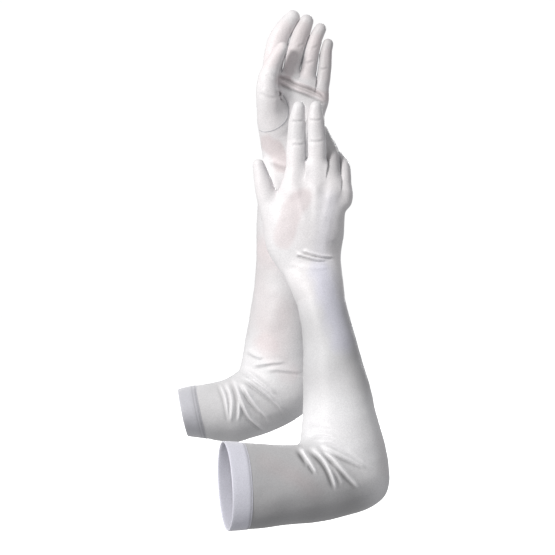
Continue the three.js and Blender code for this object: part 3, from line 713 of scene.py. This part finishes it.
# ---------------------------------------------------------------- materials
def satin(name, base, tint, rough, sheen, weave):
    m = bpy.data.materials.new(name)
    m.use_nodes = True
    nt = m.node_tree
    nt.nodes.clear()
    N, L = nt.nodes.new, nt.links.new
    out = N("ShaderNodeOutputMaterial")
    bs = N("ShaderNodeBsdfPrincipled")
    L(bs.outputs[0], out.inputs[0])
    bs.inputs["Roughness"].default_value = rough
    bs.inputs["Sheen Weight"].default_value = sheen
    bs.inputs["Sheen Roughness"].default_value = 0.45
    bs.inputs["Specular IOR Level"].default_value = 0.32
    bs.inputs["Subsurface Weight"].default_value = 0.0
    at = N("ShaderNodeAttribute")
    at.attribute_name = "rest"
    warm = N("ShaderNodeAttribute")
    warm.attribute_name = "warm"
    # slow colour drift of the cloth
    n1 = N("ShaderNodeTexNoise")
    n1.inputs["Scale"].default_value = 0.035
    n1.inputs["Detail"].default_value = 3.0
    L(at.outputs["Vector"], n1.inputs["Vector"])
    mix1 = N("ShaderNodeMix")
    mix1.data_type = "RGBA"
    L(n1.outputs["Fac"], mix1.inputs["Factor"])
    mix1.inputs["A"].default_value = (*base, 1)
    mix1.inputs["B"].default_value = (*tint, 1)
    # where the cloth is drawn thin and warm shows through
    mix2 = N("ShaderNodeMix")
    mix2.data_type = "RGBA"
    L(warm.outputs["Fac"], mix2.inputs["Factor"])
    L(mix1.outputs["Result"], mix2.inputs["A"])
    mix2.inputs["B"].default_value = (base[0] * 0.985, base[1] * 0.90, base[2] * 0.90, 1)
    # painted shade: a darker, bluer cast mixed in by an attribute, on the shaded right side of the right forearm and
    # hand, and on the right hem
    cool = N("ShaderNodeAttribute")
    cool.attribute_name = "cool"
    mix3 = N("ShaderNodeMix")
    mix3.data_type = "RGBA"
    L(cool.outputs["Fac"], mix3.inputs["Factor"])
    L(mix2.outputs["Result"], mix3.inputs["A"])
    mix3.inputs["B"].default_value = (base[0] * 0.93, base[1] * 0.93, min(1.0, base[2] * 1.04), 1)
    # a grey-level attribute multiplies the colour: painted shade on the arms, hands and fingers and in creases,
    # painted highlights on fold ridges, a greyer hem, and darker stitch threads
    shade_and_tone = N("ShaderNodeAttribute")
    shade_and_tone.attribute_name = "shade_and_tone"
    grey = N("ShaderNodeMix")
    grey.data_type = "RGBA"
    grey.blend_type = "MULTIPLY"
    grey.inputs["Factor"].default_value = 1.0
    L(mix3.outputs["Result"], grey.inputs["A"])
    L(shade_and_tone.outputs["Fac"], grey.inputs["B"])
    # fine threads: a little darker between them
    n2 = N("ShaderNodeTexNoise")
    n2.inputs["Scale"].default_value = 0.85
    n2.inputs["Detail"].default_value = 2.0
    L(at.outputs["Vector"], n2.inputs["Vector"])
    mr = N("ShaderNodeMapRange")
    L(n2.outputs["Fac"], mr.inputs["Value"])
    mr.inputs["From Min"].default_value = 0.3
    mr.inputs["From Max"].default_value = 0.7
    mr.inputs["To Min"].default_value = 0.86
    mr.inputs["To Max"].default_value = 1.0
    mul = N("ShaderNodeMix")
    mul.data_type = "RGBA"
    mul.blend_type = "MULTIPLY"
    mul.inputs["Factor"].default_value = 1.0
    L(grey.outputs["Result"], mul.inputs["A"])
    L(mr.outputs["Result"], mul.inputs["B"])
    L(mul.outputs["Result"], bs.inputs["Base Color"])
    # satin floats: long threads across, short between
    mp = N("ShaderNodeMapping")
    mp.inputs["Scale"].default_value = (1.6, 1.6, 0.55)
    L(at.outputs["Vector"], mp.inputs["Vector"])
    n3 = N("ShaderNodeTexNoise")
    n3.inputs["Scale"].default_value = weave
    n3.inputs["Detail"].default_value = 3.0
    n3.inputs["Roughness"].default_value = 0.6
    L(mp.outputs["Vector"], n3.inputs["Vector"])
    n4 = N("ShaderNodeTexNoise")
    n4.inputs["Scale"].default_value = 0.16
    n4.inputs["Detail"].default_value = 2.0
    L(at.outputs["Vector"], n4.inputs["Vector"])
    b1 = N("ShaderNodeBump")
    b1.inputs["Strength"].default_value = 0.22
    b1.inputs["Distance"].default_value = 0.0002
    L(n3.outputs["Fac"], b1.inputs["Height"])
    b2 = N("ShaderNodeBump")
    b2.inputs["Strength"].default_value = 0.35
    b2.inputs["Distance"].default_value = 0.0006
    L(n4.outputs["Fac"], b2.inputs["Height"])
    L(b1.outputs["Normal"], b2.inputs["Normal"])
    L(b2.outputs["Normal"], bs.inputs["Normal"])
    rr = N("ShaderNodeMapRange")
    L(n3.outputs["Fac"], rr.inputs["Value"])
    rr.inputs["To Min"].default_value = rough - 0.06
    rr.inputs["To Max"].default_value = rough + 0.08
    L(rr.outputs["Result"], bs.inputs["Roughness"])
    return m


WHITE = (0.835, 0.835, 0.842)
MATS = {
    "sleeve_satin": satin("sleeve_satin", WHITE, (0.80, 0.80, 0.815), 0.46, 0.25, 1.1),
    "hand_satin": satin("hand_satin", (0.842, 0.838, 0.844), (0.81, 0.805, 0.815), 0.46, 0.25, 1.2),
    "creased_satin": satin("creased_satin", (0.83, 0.83, 0.84), (0.80, 0.80, 0.82), 0.47, 0.25, 1.1),
    "hem_satin": satin("hem_satin", (0.79, 0.79, 0.84), (0.76, 0.76, 0.82), 0.5, 0.6, 1.1),
    "fourchette_satin": satin("fourchette_satin", (0.80, 0.80, 0.83), (0.77, 0.77, 0.81), 0.5, 0.6, 1.1),
}


# ---------------------------------------------------------------- building
def tube_mesh(points, radius, sides=6, normals=None):
    """A thin closed tube along points."""
    P = np.asarray(points, float)
    t = unit(np.gradient(P, axis=0))
    ref = normals if normals is not None else np.repeat([[0.13, -0.96, 0.22]], len(P), 0)
    a = unit(np.cross(t, ref))
    b = np.cross(t, a)
    ang = np.arange(sides) * 2 * math.pi / sides
    r = np.full(len(P), radius)
    r[0] *= 0.4
    r[-1] *= 0.4
    V = P[:, None] + r[:, None, None] * (a[:, None] * np.cos(ang)[:, None] + b[:, None] * np.sin(ang)[:, None])
    n = len(P)
    V = V.reshape(-1, 3)
    i, j = np.meshgrid(np.arange(n - 1), np.arange(sides), indexing="ij")
    i, j = i.ravel(), j.ravel()
    k = (j + 1) % sides
    F = np.stack([i * sides + j, i * sides + k, (i + 1) * sides + k, (i + 1) * sides + j], 1)
    # close both ends with a small four-cornered fan on the first six points
    base = len(V)
    V = np.concatenate([V, P[:1], P[-1:]])
    caps = []
    for q in range(0, sides, 2):
        caps.append([base, (q + 2) % sides, (q + 1) % sides, q])
        o = (n - 1) * sides
        caps.append([base + 1, o + q, o + (q + 1) % sides, o + (q + 2) % sides])
    return V, np.concatenate([F, np.array(caps)])


def gather(parts):
    vs, fs, k = [], [], 0
    for v, f in parts:
        vs.append(v)
        fs.append(f + k)
        k += len(v)
    return np.concatenate(vs), np.concatenate(fs)


def patch(v, n, line, reach, soft):
    """1 near a line drawn on the side that faces the camera, falling to 0 over soft mm."""
    d, _ = to_line(front(v, 0), line)
    see = band((n * unit(EYE - v)).sum(1), -0.1, 0.35)
    return (1 - band(np.abs(d) + 1.6 * noise3(v, 14, 31), reach - soft, reach + soft)) * see


def tint_of(G, v, n):
    """Where the cloth looks a little warm."""
    z = v[:, 2]
    drift = 0.5 + 0.5 * noise3(v, 55, 5 if G.g["side"] == "right" else 9)
    if G.g["side"] == "right":
        w = (band(z, 130, 250) * 0.16 + 0.08) * (0.4 + drift)
        w = w + 0.62 * patch(v, n, [[60.3, 253.7], [66.5, 278.3], [78.8, 293.6]], 11, 3.2)
        w = w + 0.5 * patch(v, n, [[37.8, 24.6], [66.5, 12.3], [93.1, -6.1]], 8, 7) * (0.3 + drift)
        w = w + 0.2 * patch(v, n, [[162.6, 47.1], [164.7, 16.4]], 6, 6)
    else:
        w = (band(z, 130, 220) * 0.16 + 0.1) * (0.4 + drift)
        w = w + 0.75 * patch(v, n, [[43.0, 350.9], [53.2, 343.7], [58.3, 329.4]], 8.5, 2.6)
        w = w + 0.5 * patch(v, n, [[60.3, 468.5], [51.1, 450.1], [46.0, 435.8]], 8, 4) + 0.45 * patch(v, n, [[79.8, 468.5], [72.6, 450.1], [66.5, 425.5]], 7, 3)
        w = w + 0.4 * patch(v, n, [[94.1, 456.2], [86.9, 433.7], [82.9, 421.5]], 6, 3) + 0.35 * patch(v, n, [[105.4, 444.0], [102.3, 419.4]], 5, 3)
        w = w + 0.55 * patch(v, n, [[37.8, 241.4], [44.0, 200.5], [52.2, 149.4]], 16, 12) * (0.3 + drift) + 0.5 * patch(v, n, [[39.9, 144.3], [64.4, 116.6]], 10, 6) * (0.3 + drift)
        w = w + 0.6 * patch(v, n, [[57.3, 415.3], [76.7, 407.1], [101.3, 399.0]], 5, 2)
    return np.clip(w, 0, 1)


def shade_blue_of(G, v, n):
    """Painted shade colour: a grey-blue cast on the shaded right side of the right forearm and hand, faint elsewhere.
    """
    if G.g["side"] == "right":
        return np.clip(0.85 * patch(v, n, [[99.2, 218.9], [110.5, 180.1], [120.7, 147.3]], 11, 8) + 0.3 * patch(v, n, [[107.4, 292.6], [99.2, 241.4]], 8, 8) + 0.04, 0, 1)
    return 0.02 + 0 * v[:, 0]


def shade_and_tone_of(G, v, n, name=""):
    """Painted shade in the cloth's grey level, 1 where it is whitest, with a little random tone."""
    r = v - G.H
    u, f = r @ G.U, r @ G.F
    if G.g["side"] == "right":
        # painted shade: the upper arm and elbow darker, the mid forearm darker, and darker still on the sides turned
        # from the light and on the underside of the upper arm
        arm = 1 - band(f + 0.9 * u, -26, 24)
        mid_forearm = band(f, 60, 120) * (1 - band(f, 175, 240))
        out = 1 - 0.43 * arm - 0.27 * mid_forearm
        across = r @ G.M
        out = out - 0.2 * band(-across, 4, 34) * mid_forearm
        out = out - 0.1 * band(-(r @ G.V), 4, 40) * arm
        out = out - 0.22 * band(-across, 22, 44) * (1 - arm) * (1 - mid_forearm) * (1 - band(f, 150, 220))
        # darker above 360 mm up; painted shade along the thumb's edge of the back of the hand and on the shaded side
        # plane of the hand
        out = out * (1 - 0.07 * band(v[:, 2], 358.2, 360.4))
        out = out * (1 - 0.06 * patch(v, n, [[60.3, 253.7], [66.5, 278.3], [78.8, 293.6]], 11, 3.2))
        out = out * (1 - 0.12 * patch(v, n, [[122.7, 294.6], [116.6, 270.1], [110.5, 245.5]], 8.5, 2.0))
        # painted shade: the bent ring and little fingers darker, as in the middle finger's shadow
        if name in ("ring", "little"):
            out = out * (0.62 if name == "ring" else 0.8)
    else:
        # painted shade: the upper arm and elbow, the mid forearm, the side turned from the light, the heel of the
        # palm, the palm crease, a line on the middle finger, and the middle, ring and little fingers darker
        arm = 1 - band(f + 0.9 * u, -40, 10)
        mid_forearm = band(f, 30, 80) * (1 - band(f, 205, 250))
        out = 1 - 0.17 * arm - 0.14 * mid_forearm
        out = out - 0.1 * band(r @ G.M * -1, -4, 20) * band(f, 100, 160)
        out = out * (1 - 0.13 * patch(v, n, [[43.0, 350.9], [53.2, 343.7], [58.3, 329.4]], 8.5, 2.6))
        out = out * (1 - 0.13 * patch(v, n, [[57.3, 415.3], [76.7, 407.1], [101.3, 399.0]], 5, 2))
        out = out * (1 - 0.1 * patch(v, n, [[79.8, 468.5], [72.6, 450.1], [66.5, 425.5]], 7, 3))
        if name in ("middle", "ring"):
            out = out * 0.95
        if name == "little":
            out = out * 0.84
    out = out + 0.03 * noise3(v, 40, 21)
    return np.clip(out, 0.3, 1)


def attrs_of(G, v, n, name=""):
    return {"rest": v, "warm": tint_of(G, v, n), "cool": shade_blue_of(G, v, n), "shade_and_tone": shade_and_tone_of(G, v, n, name)}


def sleeve(G):
    g, side = G.g, G.g["side"]
    c, e1, e2, a, b, length, (n0, n1) = G.rings()
    nc = 232
    phi = np.arange(nc) * 2 * math.pi / nc
    two = np.full(len(c), 2.0)
    V = ring_points(c, e1, e2, a, b, two, phi)
    rows = len(c)

    def grid_normals(V):
        du = np.roll(V, -1, 1) - np.roll(V, 1, 1)
        dv = np.gradient(V, axis=0)
        n = unit(np.cross(du, dv))
        out = V - V.mean(1, keepdims=True)
        s = np.sign((n * out).sum(-1).mean())
        return n * s

    Nn = grid_normals(V)
    flat = V.reshape(-1, 3)
    nf = Nn.reshape(-1, 3)
    lift = sleeve_folds(G, flat, nf, None, None)
    # painted highlights on the fold ridges and painted shade in their hollows, for the grey level; below, the lining
    # side gets 0.4 more
    fold_light_and_shade = np.clip(lift, -1.3, 3) * (0.26 if side == "right" else 0.15)
    # slow looseness of the cloth, and drag lines round the elbow
    s_mm = np.repeat(length, nc)
    loose = 0.45 * noise3(flat, 46, 3) + 0.22 * noise3(flat, 22, 4)
    ends = band(s_mm, 14, 40) * (1 - band(s_mm, length[-1] - 26, length[-1] - 6))
    lift = (lift + loose * ends) * band(s_mm, 10, 26) * (1 - band(s_mm, length[-1] - 14, length[-1] - 3))
    # the side seam draws the cloth in a little
    k = np.tile(np.arange(nc), rows)
    seam = np.abs((k - nc * 0.75)) * (2 * math.pi / nc) * 36
    lift -= 0.35 * np.exp(-((seam / 2.2) ** 2))
    lift -= 0.07 * band(s_mm, length[-1] - 4, length[-1])
    flat = flat + nf * lift[:, None]
    V = flat.reshape(V.shape)
    Nn = grid_normals(V)
    first = int(np.searchsorted(length, 19.6))
    VV, NN = V[first:], Nn[first:]
    m = len(VV)
    i, j = np.meshgrid(np.arange(m - 1), np.arange(nc), indexing="ij")
    i, j = i.ravel(), j.ravel()
    q = (j + 1) % nc
    F = np.stack([i * nc + j, i * nc + q, (i + 1) * nc + q, (i + 1) * nc + j], 1)
    v, nn = VV.reshape(-1, 3), NN.reshape(-1, 3)
    fold_light_and_shade = fold_light_and_shade.reshape(rows, nc)[first:].ravel()
    t = np.cross(v[F[:, 1]] - v[F[:, 0]], v[F[:, 3]] - v[F[:, 0]])
    if (t * nn[F[:, 0]]).sum() < 0:
        F = F[:, ::-1]
    vo, fo, no = shell(v, F, nn, 0.9)
    look_at = attrs_of(G, vo, no)
    look_at["shade_and_tone"] = np.clip(look_at["shade_and_tone"] + np.concatenate([fold_light_and_shade, 0 * fold_light_and_shade + 0.4]), 0.25, 1)
    ob = make(f"{side}_sleeve", vo, fo, no, look_at)
    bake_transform(ob)
    finish_piece(ob, MATS["sleeve_satin"], (f"{side}_upper_sleeve", f"{side}_elbow_sleeve", f"{side}_forearm_sleeve"))
    # the seam thread down the back
    col = int(nc * 0.75)
    line = VV[3:-2:2, col] + NN[3:-2:2, col] * 0.12
    tv, tf = tube_mesh(line, 0.26, 6, NN[3:-2:2, col])
    ob = make(f"{side}_sleeve_seam", tv, tf, None, attrs_of(G, tv, tv))
    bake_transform(ob)
    finish_piece(ob, MATS["creased_satin"])

    # the turned hem: a soft double fold that stands proud of the sleeve
    prof = []
    for s, o in ((0.9, -1.0), (0.35, -0.7), (0.05, -0.25), (0.1, 0.2), (0.6, 0.5), (1.6, 0.62), (4, 0.72), (8, 0.74), (12, 0.74), (14.8, 0.7), (16, 0.5 if side == "left" else 0.7), (17.2, 0.68), (18.6, 0.56), (19.4, 0.2), (20.1, 0.5), (20.8, 0.42), (21.1, 0.12), (20.9, -0.15), (20.2, -0.4)):
        prof.append((s, o))
    inner = [(16, -1.3), (10, -1.35), (4, -1.35), (1.6, -1.2)]
    pr = np.array(prof + inner)
    d = np.concatenate([[0], np.cumsum(np.linalg.norm(np.diff(pr, axis=0), axis=1))])
    st = np.interp(pr[:, 0], length, np.arange(rows))
    pick = lambda A: np.stack([np.interp(st, np.arange(rows), A[:, x]) for x in range(3)], 1)
    one = lambda A: np.interp(st, np.arange(rows), A)
    C, A1, A2 = pick(c), unit(pick(e1)), unit(pick(e2))
    HV = ring_points(C, A1, A2, one(a) + pr[:, 1], one(b) + pr[:, 1], np.full(len(pr), 2.0), phi)
    wob = 0.16 * noise3(HV.reshape(-1, 3), 26, 7).reshape(HV.shape[:2])
    out = unit(HV - HV.mean(1, keepdims=True))
    HV = HV + out * wob[..., None]
    r = len(pr)
    i, j = np.meshgrid(np.arange(r), np.arange(nc), indexing="ij")
    i, j = i.ravel(), j.ravel()
    q, p2 = (j + 1) % nc, (i + 1) % r
    F = np.stack([i * nc + j, i * nc + q, p2 * nc + q, p2 * nc + j], 1)
    hv = HV.reshape(-1, 3)
    t = np.cross(hv[F[:, 1]] - hv[F[:, 0]], hv[F[:, 3]] - hv[F[:, 0]])
    outer = (F[:, 0] // nc >= 6) & (F[:, 0] // nc <= 8)
    o2 = hv[F[:, 0]] - np.repeat(HV.mean(1), nc, 0)[F[:, 0]]
    if (t[outer] * o2[outer]).sum() < 0:
        F = F[:, ::-1]
    along = np.repeat(pr[:, 0], nc)
    # painted shade: the hem greyer than the sleeve, darker in its fold lines at 19.4 mm (and 16 mm on the left),
    # lighter at its lower lip, and on the right a grey-blue shade cast
    edge = (0.88 if side == "right" else 0.74) - 0.26 * np.exp(-(((along - 19.4) / 0.9) ** 2)) + 0.1 * (1 - band(along, 0.6, 2.2))
    if side == "left":
        edge = edge - 0.2 * np.exp(-(((along - 16.0) / 1.0) ** 2))
    ob = make(f"{side}_hem", hv, F, quads_normals(hv, F), {"rest": hv, "warm": 0.0 * hv[:, 0], "shade_and_tone": edge, "cool": (0.35 if side == "right" else 0.0) * (1 - 0.0 * hv[:, 0])})
    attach(ob, f"{side}_upper")
    finish_piece(ob, MATS["hem_satin"], (f"{side}_hem_band",))
    # its stitches
    parts = []
    for s_at in (19.3,):
        k = np.interp(s_at, length, np.arange(rows))
        C = np.array([np.interp(k, np.arange(rows), c[:, x]) for x in range(3)])
        E1 = unit(np.array([np.interp(k, np.arange(rows), e1[:, x]) for x in range(3)]))
        aa, bb = np.interp(k, np.arange(rows), a) + 0.42, np.interp(k, np.arange(rows), b) + 0.42
        dense = np.linspace(0, 2 * math.pi, 2001)
        loop = C + E1 * (aa * np.cos(dense))[:, None] + G.N * (bb * np.sin(dense))[:, None]
        arc = np.concatenate([[0], np.cumsum(np.linalg.norm(np.diff(loop, axis=0), axis=1))])
        count = int(arc[-1] / 2.6)
        for x in range(count):
            lo, hi = arc[-1] * (x + 0.12) / count, arc[-1] * (x + 0.86) / count
            pts = np.stack([np.interp(np.linspace(lo, hi, 4), arc, loop[:, y]) for y in range(3)], 1)
            centre = pts.mean(0) - C
            pts[[0, -1]] -= unit(centre) * 0.12
            parts.append(tube_mesh(pts, 0.2, 6, np.repeat(unit(centre)[None], 4, 0)))
    tv, tf = gather(parts)
    ob = make(f"{side}_hem_stitches", tv, tf, None, {"rest": tv, "warm": 0 * tv[:, 0], "shade_and_tone": 0.62 + 0 * tv[:, 0], "cool": 0 * tv[:, 0]})
    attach(ob, f"{side}_upper")
    finish_piece(ob, MATS["fourchette_satin"])


def hand(G):
    g, side = G.g, G.g["side"]
    v, F, chains = G.hand()
    neutral = v.copy()
    w, label, arc, names = G.wear(v, chains)
    w = relax(w, F, 2, 0.4)
    # the lower end is the sleeve's own outline
    f = (w - G.H) @ G.F
    off, a, b = look(g["forearm"], f)
    axis = G.H + G.F * f[:, None] + G.M * off[:, None]
    r = w - axis
    rho = np.sqrt(((r @ G.M) / a) ** 2 + ((r @ G.N) / b) ** 2)
    k = 1 - band(f, G.cut + 1, G.cut + 9)
    w = axis + r * (1 - k + k / np.maximum(rho, 0.2))[:, None]
    n = quads_normals(w, F)
    centre = w.mean(0)
    if ((w - centre) * n).sum() < 0:
        F = F[:, ::-1]
        n = -n
    fade = band(f, G.cut + 4, G.cut + 16)
    lift = hand_folds(G, w, n)
    creases = lift.copy()
    lift += 0.16 * noise3(w, 17, 11) + 0.2 * noise3(w, 34, 12)
    w = w + n * (lift * fade)[:, None]
    n = quads_normals(w, F)
    tint = tint_of(G, w, n)
    cool = shade_blue_of(G, w, n)
    # painted shade in the crease hollows and painted highlights on their ridges, from the fold lift
    shade_and_tone = shade_and_tone_of(G, w, n) + 0.17 * np.clip(creases, -1.6, 0.8)
    for idx, name in enumerate(names):
        # each finger's own painted shade comes in along its first centimetres
        mine = 1.0 * (label == idx) * band(arc, chains[name].s_root - 14, chains[name].s_root + 12)
        shade_and_tone = shade_and_tone * (1 - mine) + mine * shade_and_tone_of(G, w, n, name)

    above = (f > G.cut - 0.6)
    is_piece = {}
    used = np.zeros(len(F), bool)
    LB, AR = label[F], arc[F]
    for idx, name in enumerate(names):
        c = chains[name]
        cut_s = c.s_root * (0.86 if name == "thumb" else 1.0)
        sel = (LB == idx).all(1) & (AR > cut_s).all(1)
        is_piece[name] = sel & ~used
        used |= sel
    body_faces = ~used & above[F].all(1)
    for name in names:
        sel = is_piece[name]
        c = chains[name]
        pv, pf, ids, (pn, pt, pg, pc) = take(w, F, sel, n, tint, shade_and_tone, cool)
        # the direction the finger leaves the hand
        s0 = np.array([c.s_root * (0.8 if name == "thumb" else 1.0)])
        here, tangent, _, _ = c.at(s0 + 6)
        # its edge is where it meets faces of another piece
        ob = make(f"{side}_{name}", pv, pf, pn, {"rest": pv, "warm": pt, "shade_and_tone": pg, "cool": pc})
        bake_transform(ob)
        nodes = [x for x in frame_nodes() if x.startswith(f"{side}_{name}_") and "gusset" not in x]
        finish_piece(ob, MATS["hand_satin"], nodes)
    pv, pf, ids, (pn, pt, pg, pc) = take(w, F, body_faces, n, tint, shade_and_tone, cool)
    ob = make(f"{side}_hand", pv, pf, pn, {"rest": pv, "warm": pt, "shade_and_tone": pg, "cool": pc})
    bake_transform(ob)
    finish_piece(ob, MATS["hand_satin"], (f"{side}_wrist_sleeve", f"{side}_hand_shell", f"{side}_thumb_gusset"))
    print(side, "hand points", len(pv))

    # seams
    tree_n = BVHTree.FromPolygons([tuple(x) for x in neutral], [tuple(int(y) for y in x) for x in F])
    tree_w = BVHTree.FromPolygons([tuple(x) for x in w], [tuple(int(y) for y in x) for x in F])

    def settle(points, off=0.2):
        P, NN = [], []
        for p in points:
            q, m, i, d = tree_w.find_nearest(Vector(p))
            q, m = np.array(q), np.array(m)
            P.append(q + m * off)
            NN.append(m)
        P = np.array(P)
        if len(P) > 6:
            P[1:-1] = gauss(P, 1.2)[1:-1]
        return P, np.array(NN)

    for name in names:
        if name == "thumb":
            continue
        c = chains[name]
        parts = []
        for sgn in g["strips"][name]:
            for half in (1, -1):
                line = []
                last = c.end * 0.86
                for s in np.arange(c.s_root - 1.5, last, 1.5):
                    narrow = 26 * (1 - 0.45 * band(np.array(s), c.s_root + 18, last))
                    if s < c.s_root + 5:
                        narrow = 26 + 0 * narrow
                    if s > last - 7:
                        narrow = narrow * (1 - band(np.array(s), last - 7, last))
                    th = math.radians(float(narrow)) * half
                    d = c.l * sgn * math.cos(th) + c.d * math.sin(th)
                    o = c.p + c.t * s
                    hit, m, i, dist = tree_n.ray_cast(Vector(o), Vector(d), 30)
                    if hit is not None and dist < 16:
                        line.append(np.array(hit))
                if len(line) < 8:
                    continue
                moved = G.wear(np.array(line), chains)[0]
                P, NN = settle(moved)
                parts.append(tube_mesh(P, 0.34, 6, NN))
        if parts:
            tv, tf = gather(parts)
            ob = make(f"{side}_{name}_seams", tv, tf, None, {"rest": tv, "warm": 0 * tv[:, 0], "shade_and_tone": 0.62 + 0 * tv[:, 0], "cool": 0 * tv[:, 0]})
            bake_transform(ob)
            finish_piece(ob, MATS["fourchette_satin"])

    # the seam where the thumb is set in
    parts = []
    for arcs in g["thumb_seam"]:
        line = []
        q = np.array(arcs, float)
        t = np.linspace(0, len(q) - 1, 12 * (len(q) - 1) + 1)
        q = np.stack([np.interp(t, np.arange(len(q)), q[:, x]) for x in (0, 1)], 1)
        q = np.concatenate([q[:1], gauss(q, 4)[1:-1], q[-1:]])
        for x, z in q:
            target = np.array([x, 0.0, z])
            hit, m, i, dist = tree_w.ray_cast(Vector(EYE), Vector(unit(target - EYE)))
            if hit is not None:
                line.append(np.array(hit) + np.array(m) * 0.1)
        if len(line) > 6:
            line = np.array(line)
            line = np.concatenate([line[:1], gauss(line, 1.6)[1:-1], line[-1:]])
            parts.append(tube_mesh(line, 0.42, 8))
    c = chains["thumb"]
    loop = []
    for th in np.linspace(-2.9, 2.9, 90):
        s0 = g["seam_ring"][0] + g["seam_ring"][1] * math.cos(th - g["seam_ring"][2])
        d = c.l * math.cos(th) + c.d * math.sin(th)
        hit, m, i, dist = tree_n.ray_cast(Vector(c.p + c.t * s0), Vector(d), 30)
        if hit is not None and dist < 21 and m[1] > 0.1:
            loop.append(np.array(hit))
        elif len(loop) > 8:
            moved = G.wear(np.array(loop), chains)[0]
            P, NN = settle(moved)
            parts.append(tube_mesh(P, 0.26, 6, NN))
            loop = []
        else:
            loop = []
    if len(loop) > 8 and side == "right":
        moved = G.wear(np.array(loop), chains)[0]
        P, NN = settle(moved)
        parts.append(tube_mesh(P, 0.26, 6, NN))
    if parts:
        tv, tf = gather(parts)
        ob = make(f"{side}_thumb_seam", tv, tf, None, {"rest": tv, "warm": 0 * tv[:, 0], "shade_and_tone": 0.62 + 0 * tv[:, 0], "cool": 0 * tv[:, 0]})
        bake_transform(ob)
        finish_piece(ob, MATS["fourchette_satin"])


def frame_nodes():
    return [o.name for o in bpy.data.objects if o.type == "MESH" and o not in PIECES]


RIGHT["elbow_run"], LEFT["elbow_run"] = (40, 84), (54, 74)
RIGHT["up"] = [0, 0, 1]
LEFT["up"] = [0, 0, 1]
RIGHT["hinges"] = dict(index=[73.5, 122, 339], middle=[95.2, 122, 336.5], ring=[112.6, 125, 333], little=[125.7, 125, 326.5], thumb=[43.5, 128, 292])
LEFT["hinges"] = dict(index=[50, 294, 451], middle=[70, 294, 447], ring=[88.3, 294, 441.5], little=[104.9, 294, 435], thumb=[42.6, 268, 409])
RIGHT["soft_run"] = dict(thumb=25, ring=15, little=13)
LEFT["soft_run"] = dict(thumb=25)
RIGHT["soft_dir"] = dict(thumb=[-0.6, 0, 0.8])
LEFT["soft_dir"] = {}
RIGHT["strips"] = dict(index=(-1,), middle=(1, -1), ring=(1, -1), little=(1,))
LEFT["strips"] = dict(index=(-1,), middle=(1, -1), ring=(1, -1), little=(1,))
RIGHT["thumb_seam"] = []
LEFT["thumb_seam"] = [[[33.8, 364.7], [40.5, 361.4], [51.1, 364.2], [58.7, 369.3], [64.0, 375.8], [65.5, 386.7], [62.4, 395.4], [59.3, 400.0]]]
RIGHT["seam_ring"] = [17, 9, 0.6]
LEFT["seam_ring"] = [22, 6, 0.6]

for g in (RIGHT, LEFT):
    glove = Glove(g)
    sleeve(glove)
    hand(glove)

# ---------------------------------------------------------------- studio
def plain(name, colour, rough=0.9, glow=0.0):
    m = bpy.data.materials.new(name)
    m.use_nodes = True
    b = m.node_tree.nodes["Principled BSDF"]
    b.inputs["Base Color"].default_value = (*colour, 1)
    b.inputs["Roughness"].default_value = rough
    b.inputs["Specular IOR Level"].default_value = 0.0
    if glow:
        b.inputs["Emission Color"].default_value = (1, 1, 1, 1)
        b.inputs["Emission Strength"].default_value = glow
    return m


bpy.ops.mesh.primitive_plane_add(size=34, location=(0.05, 0.1, -0.0635))
floor = bpy.context.object
floor.name = "floor"
floor.data.materials.append(plain("floor_white", (0.9, 0.9, 0.9), glow=0.8))
floor.visible_diffuse = False
floor.visible_glossy = False

bpy.ops.mesh.primitive_uv_sphere_add(segments=48, ring_count=24, radius=18, location=(0, 0, 0))
dome = bpy.context.object
dome.name = "backdrop"
dm = bpy.data.materials.new("backdrop_white")
dm.use_nodes = True
b = dm.node_tree.nodes["Principled BSDF"]
b.inputs["Base Color"].default_value = (0, 0, 0, 1)
b.inputs["Specular IOR Level"].default_value = 0.0
b.inputs["Emission Color"].default_value = (1, 1, 1, 1)
b.inputs["Emission Strength"].default_value = 1.02
dome.data.materials.append(dm)
for flag in ("visible_diffuse", "visible_glossy", "visible_transmission", "visible_volume_scatter", "visible_shadow"):
    setattr(dome, flag, False)

world = bpy.data.worlds.new("studio")
bpy.context.scene.world = world
world.use_nodes = True
bg = world.node_tree.nodes["Background"]
bg.inputs["Color"].default_value = (0.985, 0.988, 1.0, 1)
WN, WL = world.node_tree.nodes.new, world.node_tree.links.new
way = WN("ShaderNodeTexCoord")
xyz = WN("ShaderNodeSeparateXYZ")
WL(way.outputs["Generated"], xyz.inputs[0])
high = WN("ShaderNodeMath")
high.operation = "MULTIPLY_ADD"
WL(xyz.outputs["Z"], high.inputs[0])
high.inputs[1].default_value = 0.04
high.inputs[2].default_value = 0.5
left = WN("ShaderNodeMath")
left.operation = "MULTIPLY_ADD"
WL(xyz.outputs["X"], left.inputs[0])
left.inputs[1].default_value = -0.05
WL(high.outputs[0], left.inputs[2])
WL(left.outputs[0], bg.inputs["Strength"])


def area(name, at, aim, size, power, colour):
    l = bpy.data.lights.new(name, "AREA")
    l.shape = "DISK"
    l.size = size
    l.energy = power
    l.color = colour
    o = bpy.data.objects.new(name, l)
    o.location = at
    d = Vector(aim) - Vector(at)
    o.rotation_mode = "QUATERNION"
    o.rotation_quaternion = d.to_track_quat("-Z", "Y")
    bpy.context.scene.collection.objects.link(o)
    return o


area("key", (-2.15, -2.0, 1.75), (0.05, 0.12, 0.2), 1.1, 100, (1.0, 0.985, 0.97))
area("back_fill", (0.9, 3.3, 1.3), (0.05, 0.12, 0.2), 1.6, 42, (1.0, 1.0, 1.0))

cam = bpy.data.cameras.new("camera")
cam.lens = 195.8
cam.sensor_width = 36
cam.dof.use_dof = False
cam.clip_start, cam.clip_end = 0.1, 200
co = bpy.data.objects.new("camera", cam)
co.location = (0.0537, -3.088, 0.2133)
co.rotation_euler = (math.pi / 2, 0, 0)
bpy.context.scene.collection.objects.link(co)
bpy.context.scene.camera = co
bpy.context.scene.view_settings.view_transform = "Standard"
bpy.context.scene.view_settings.look = "None"
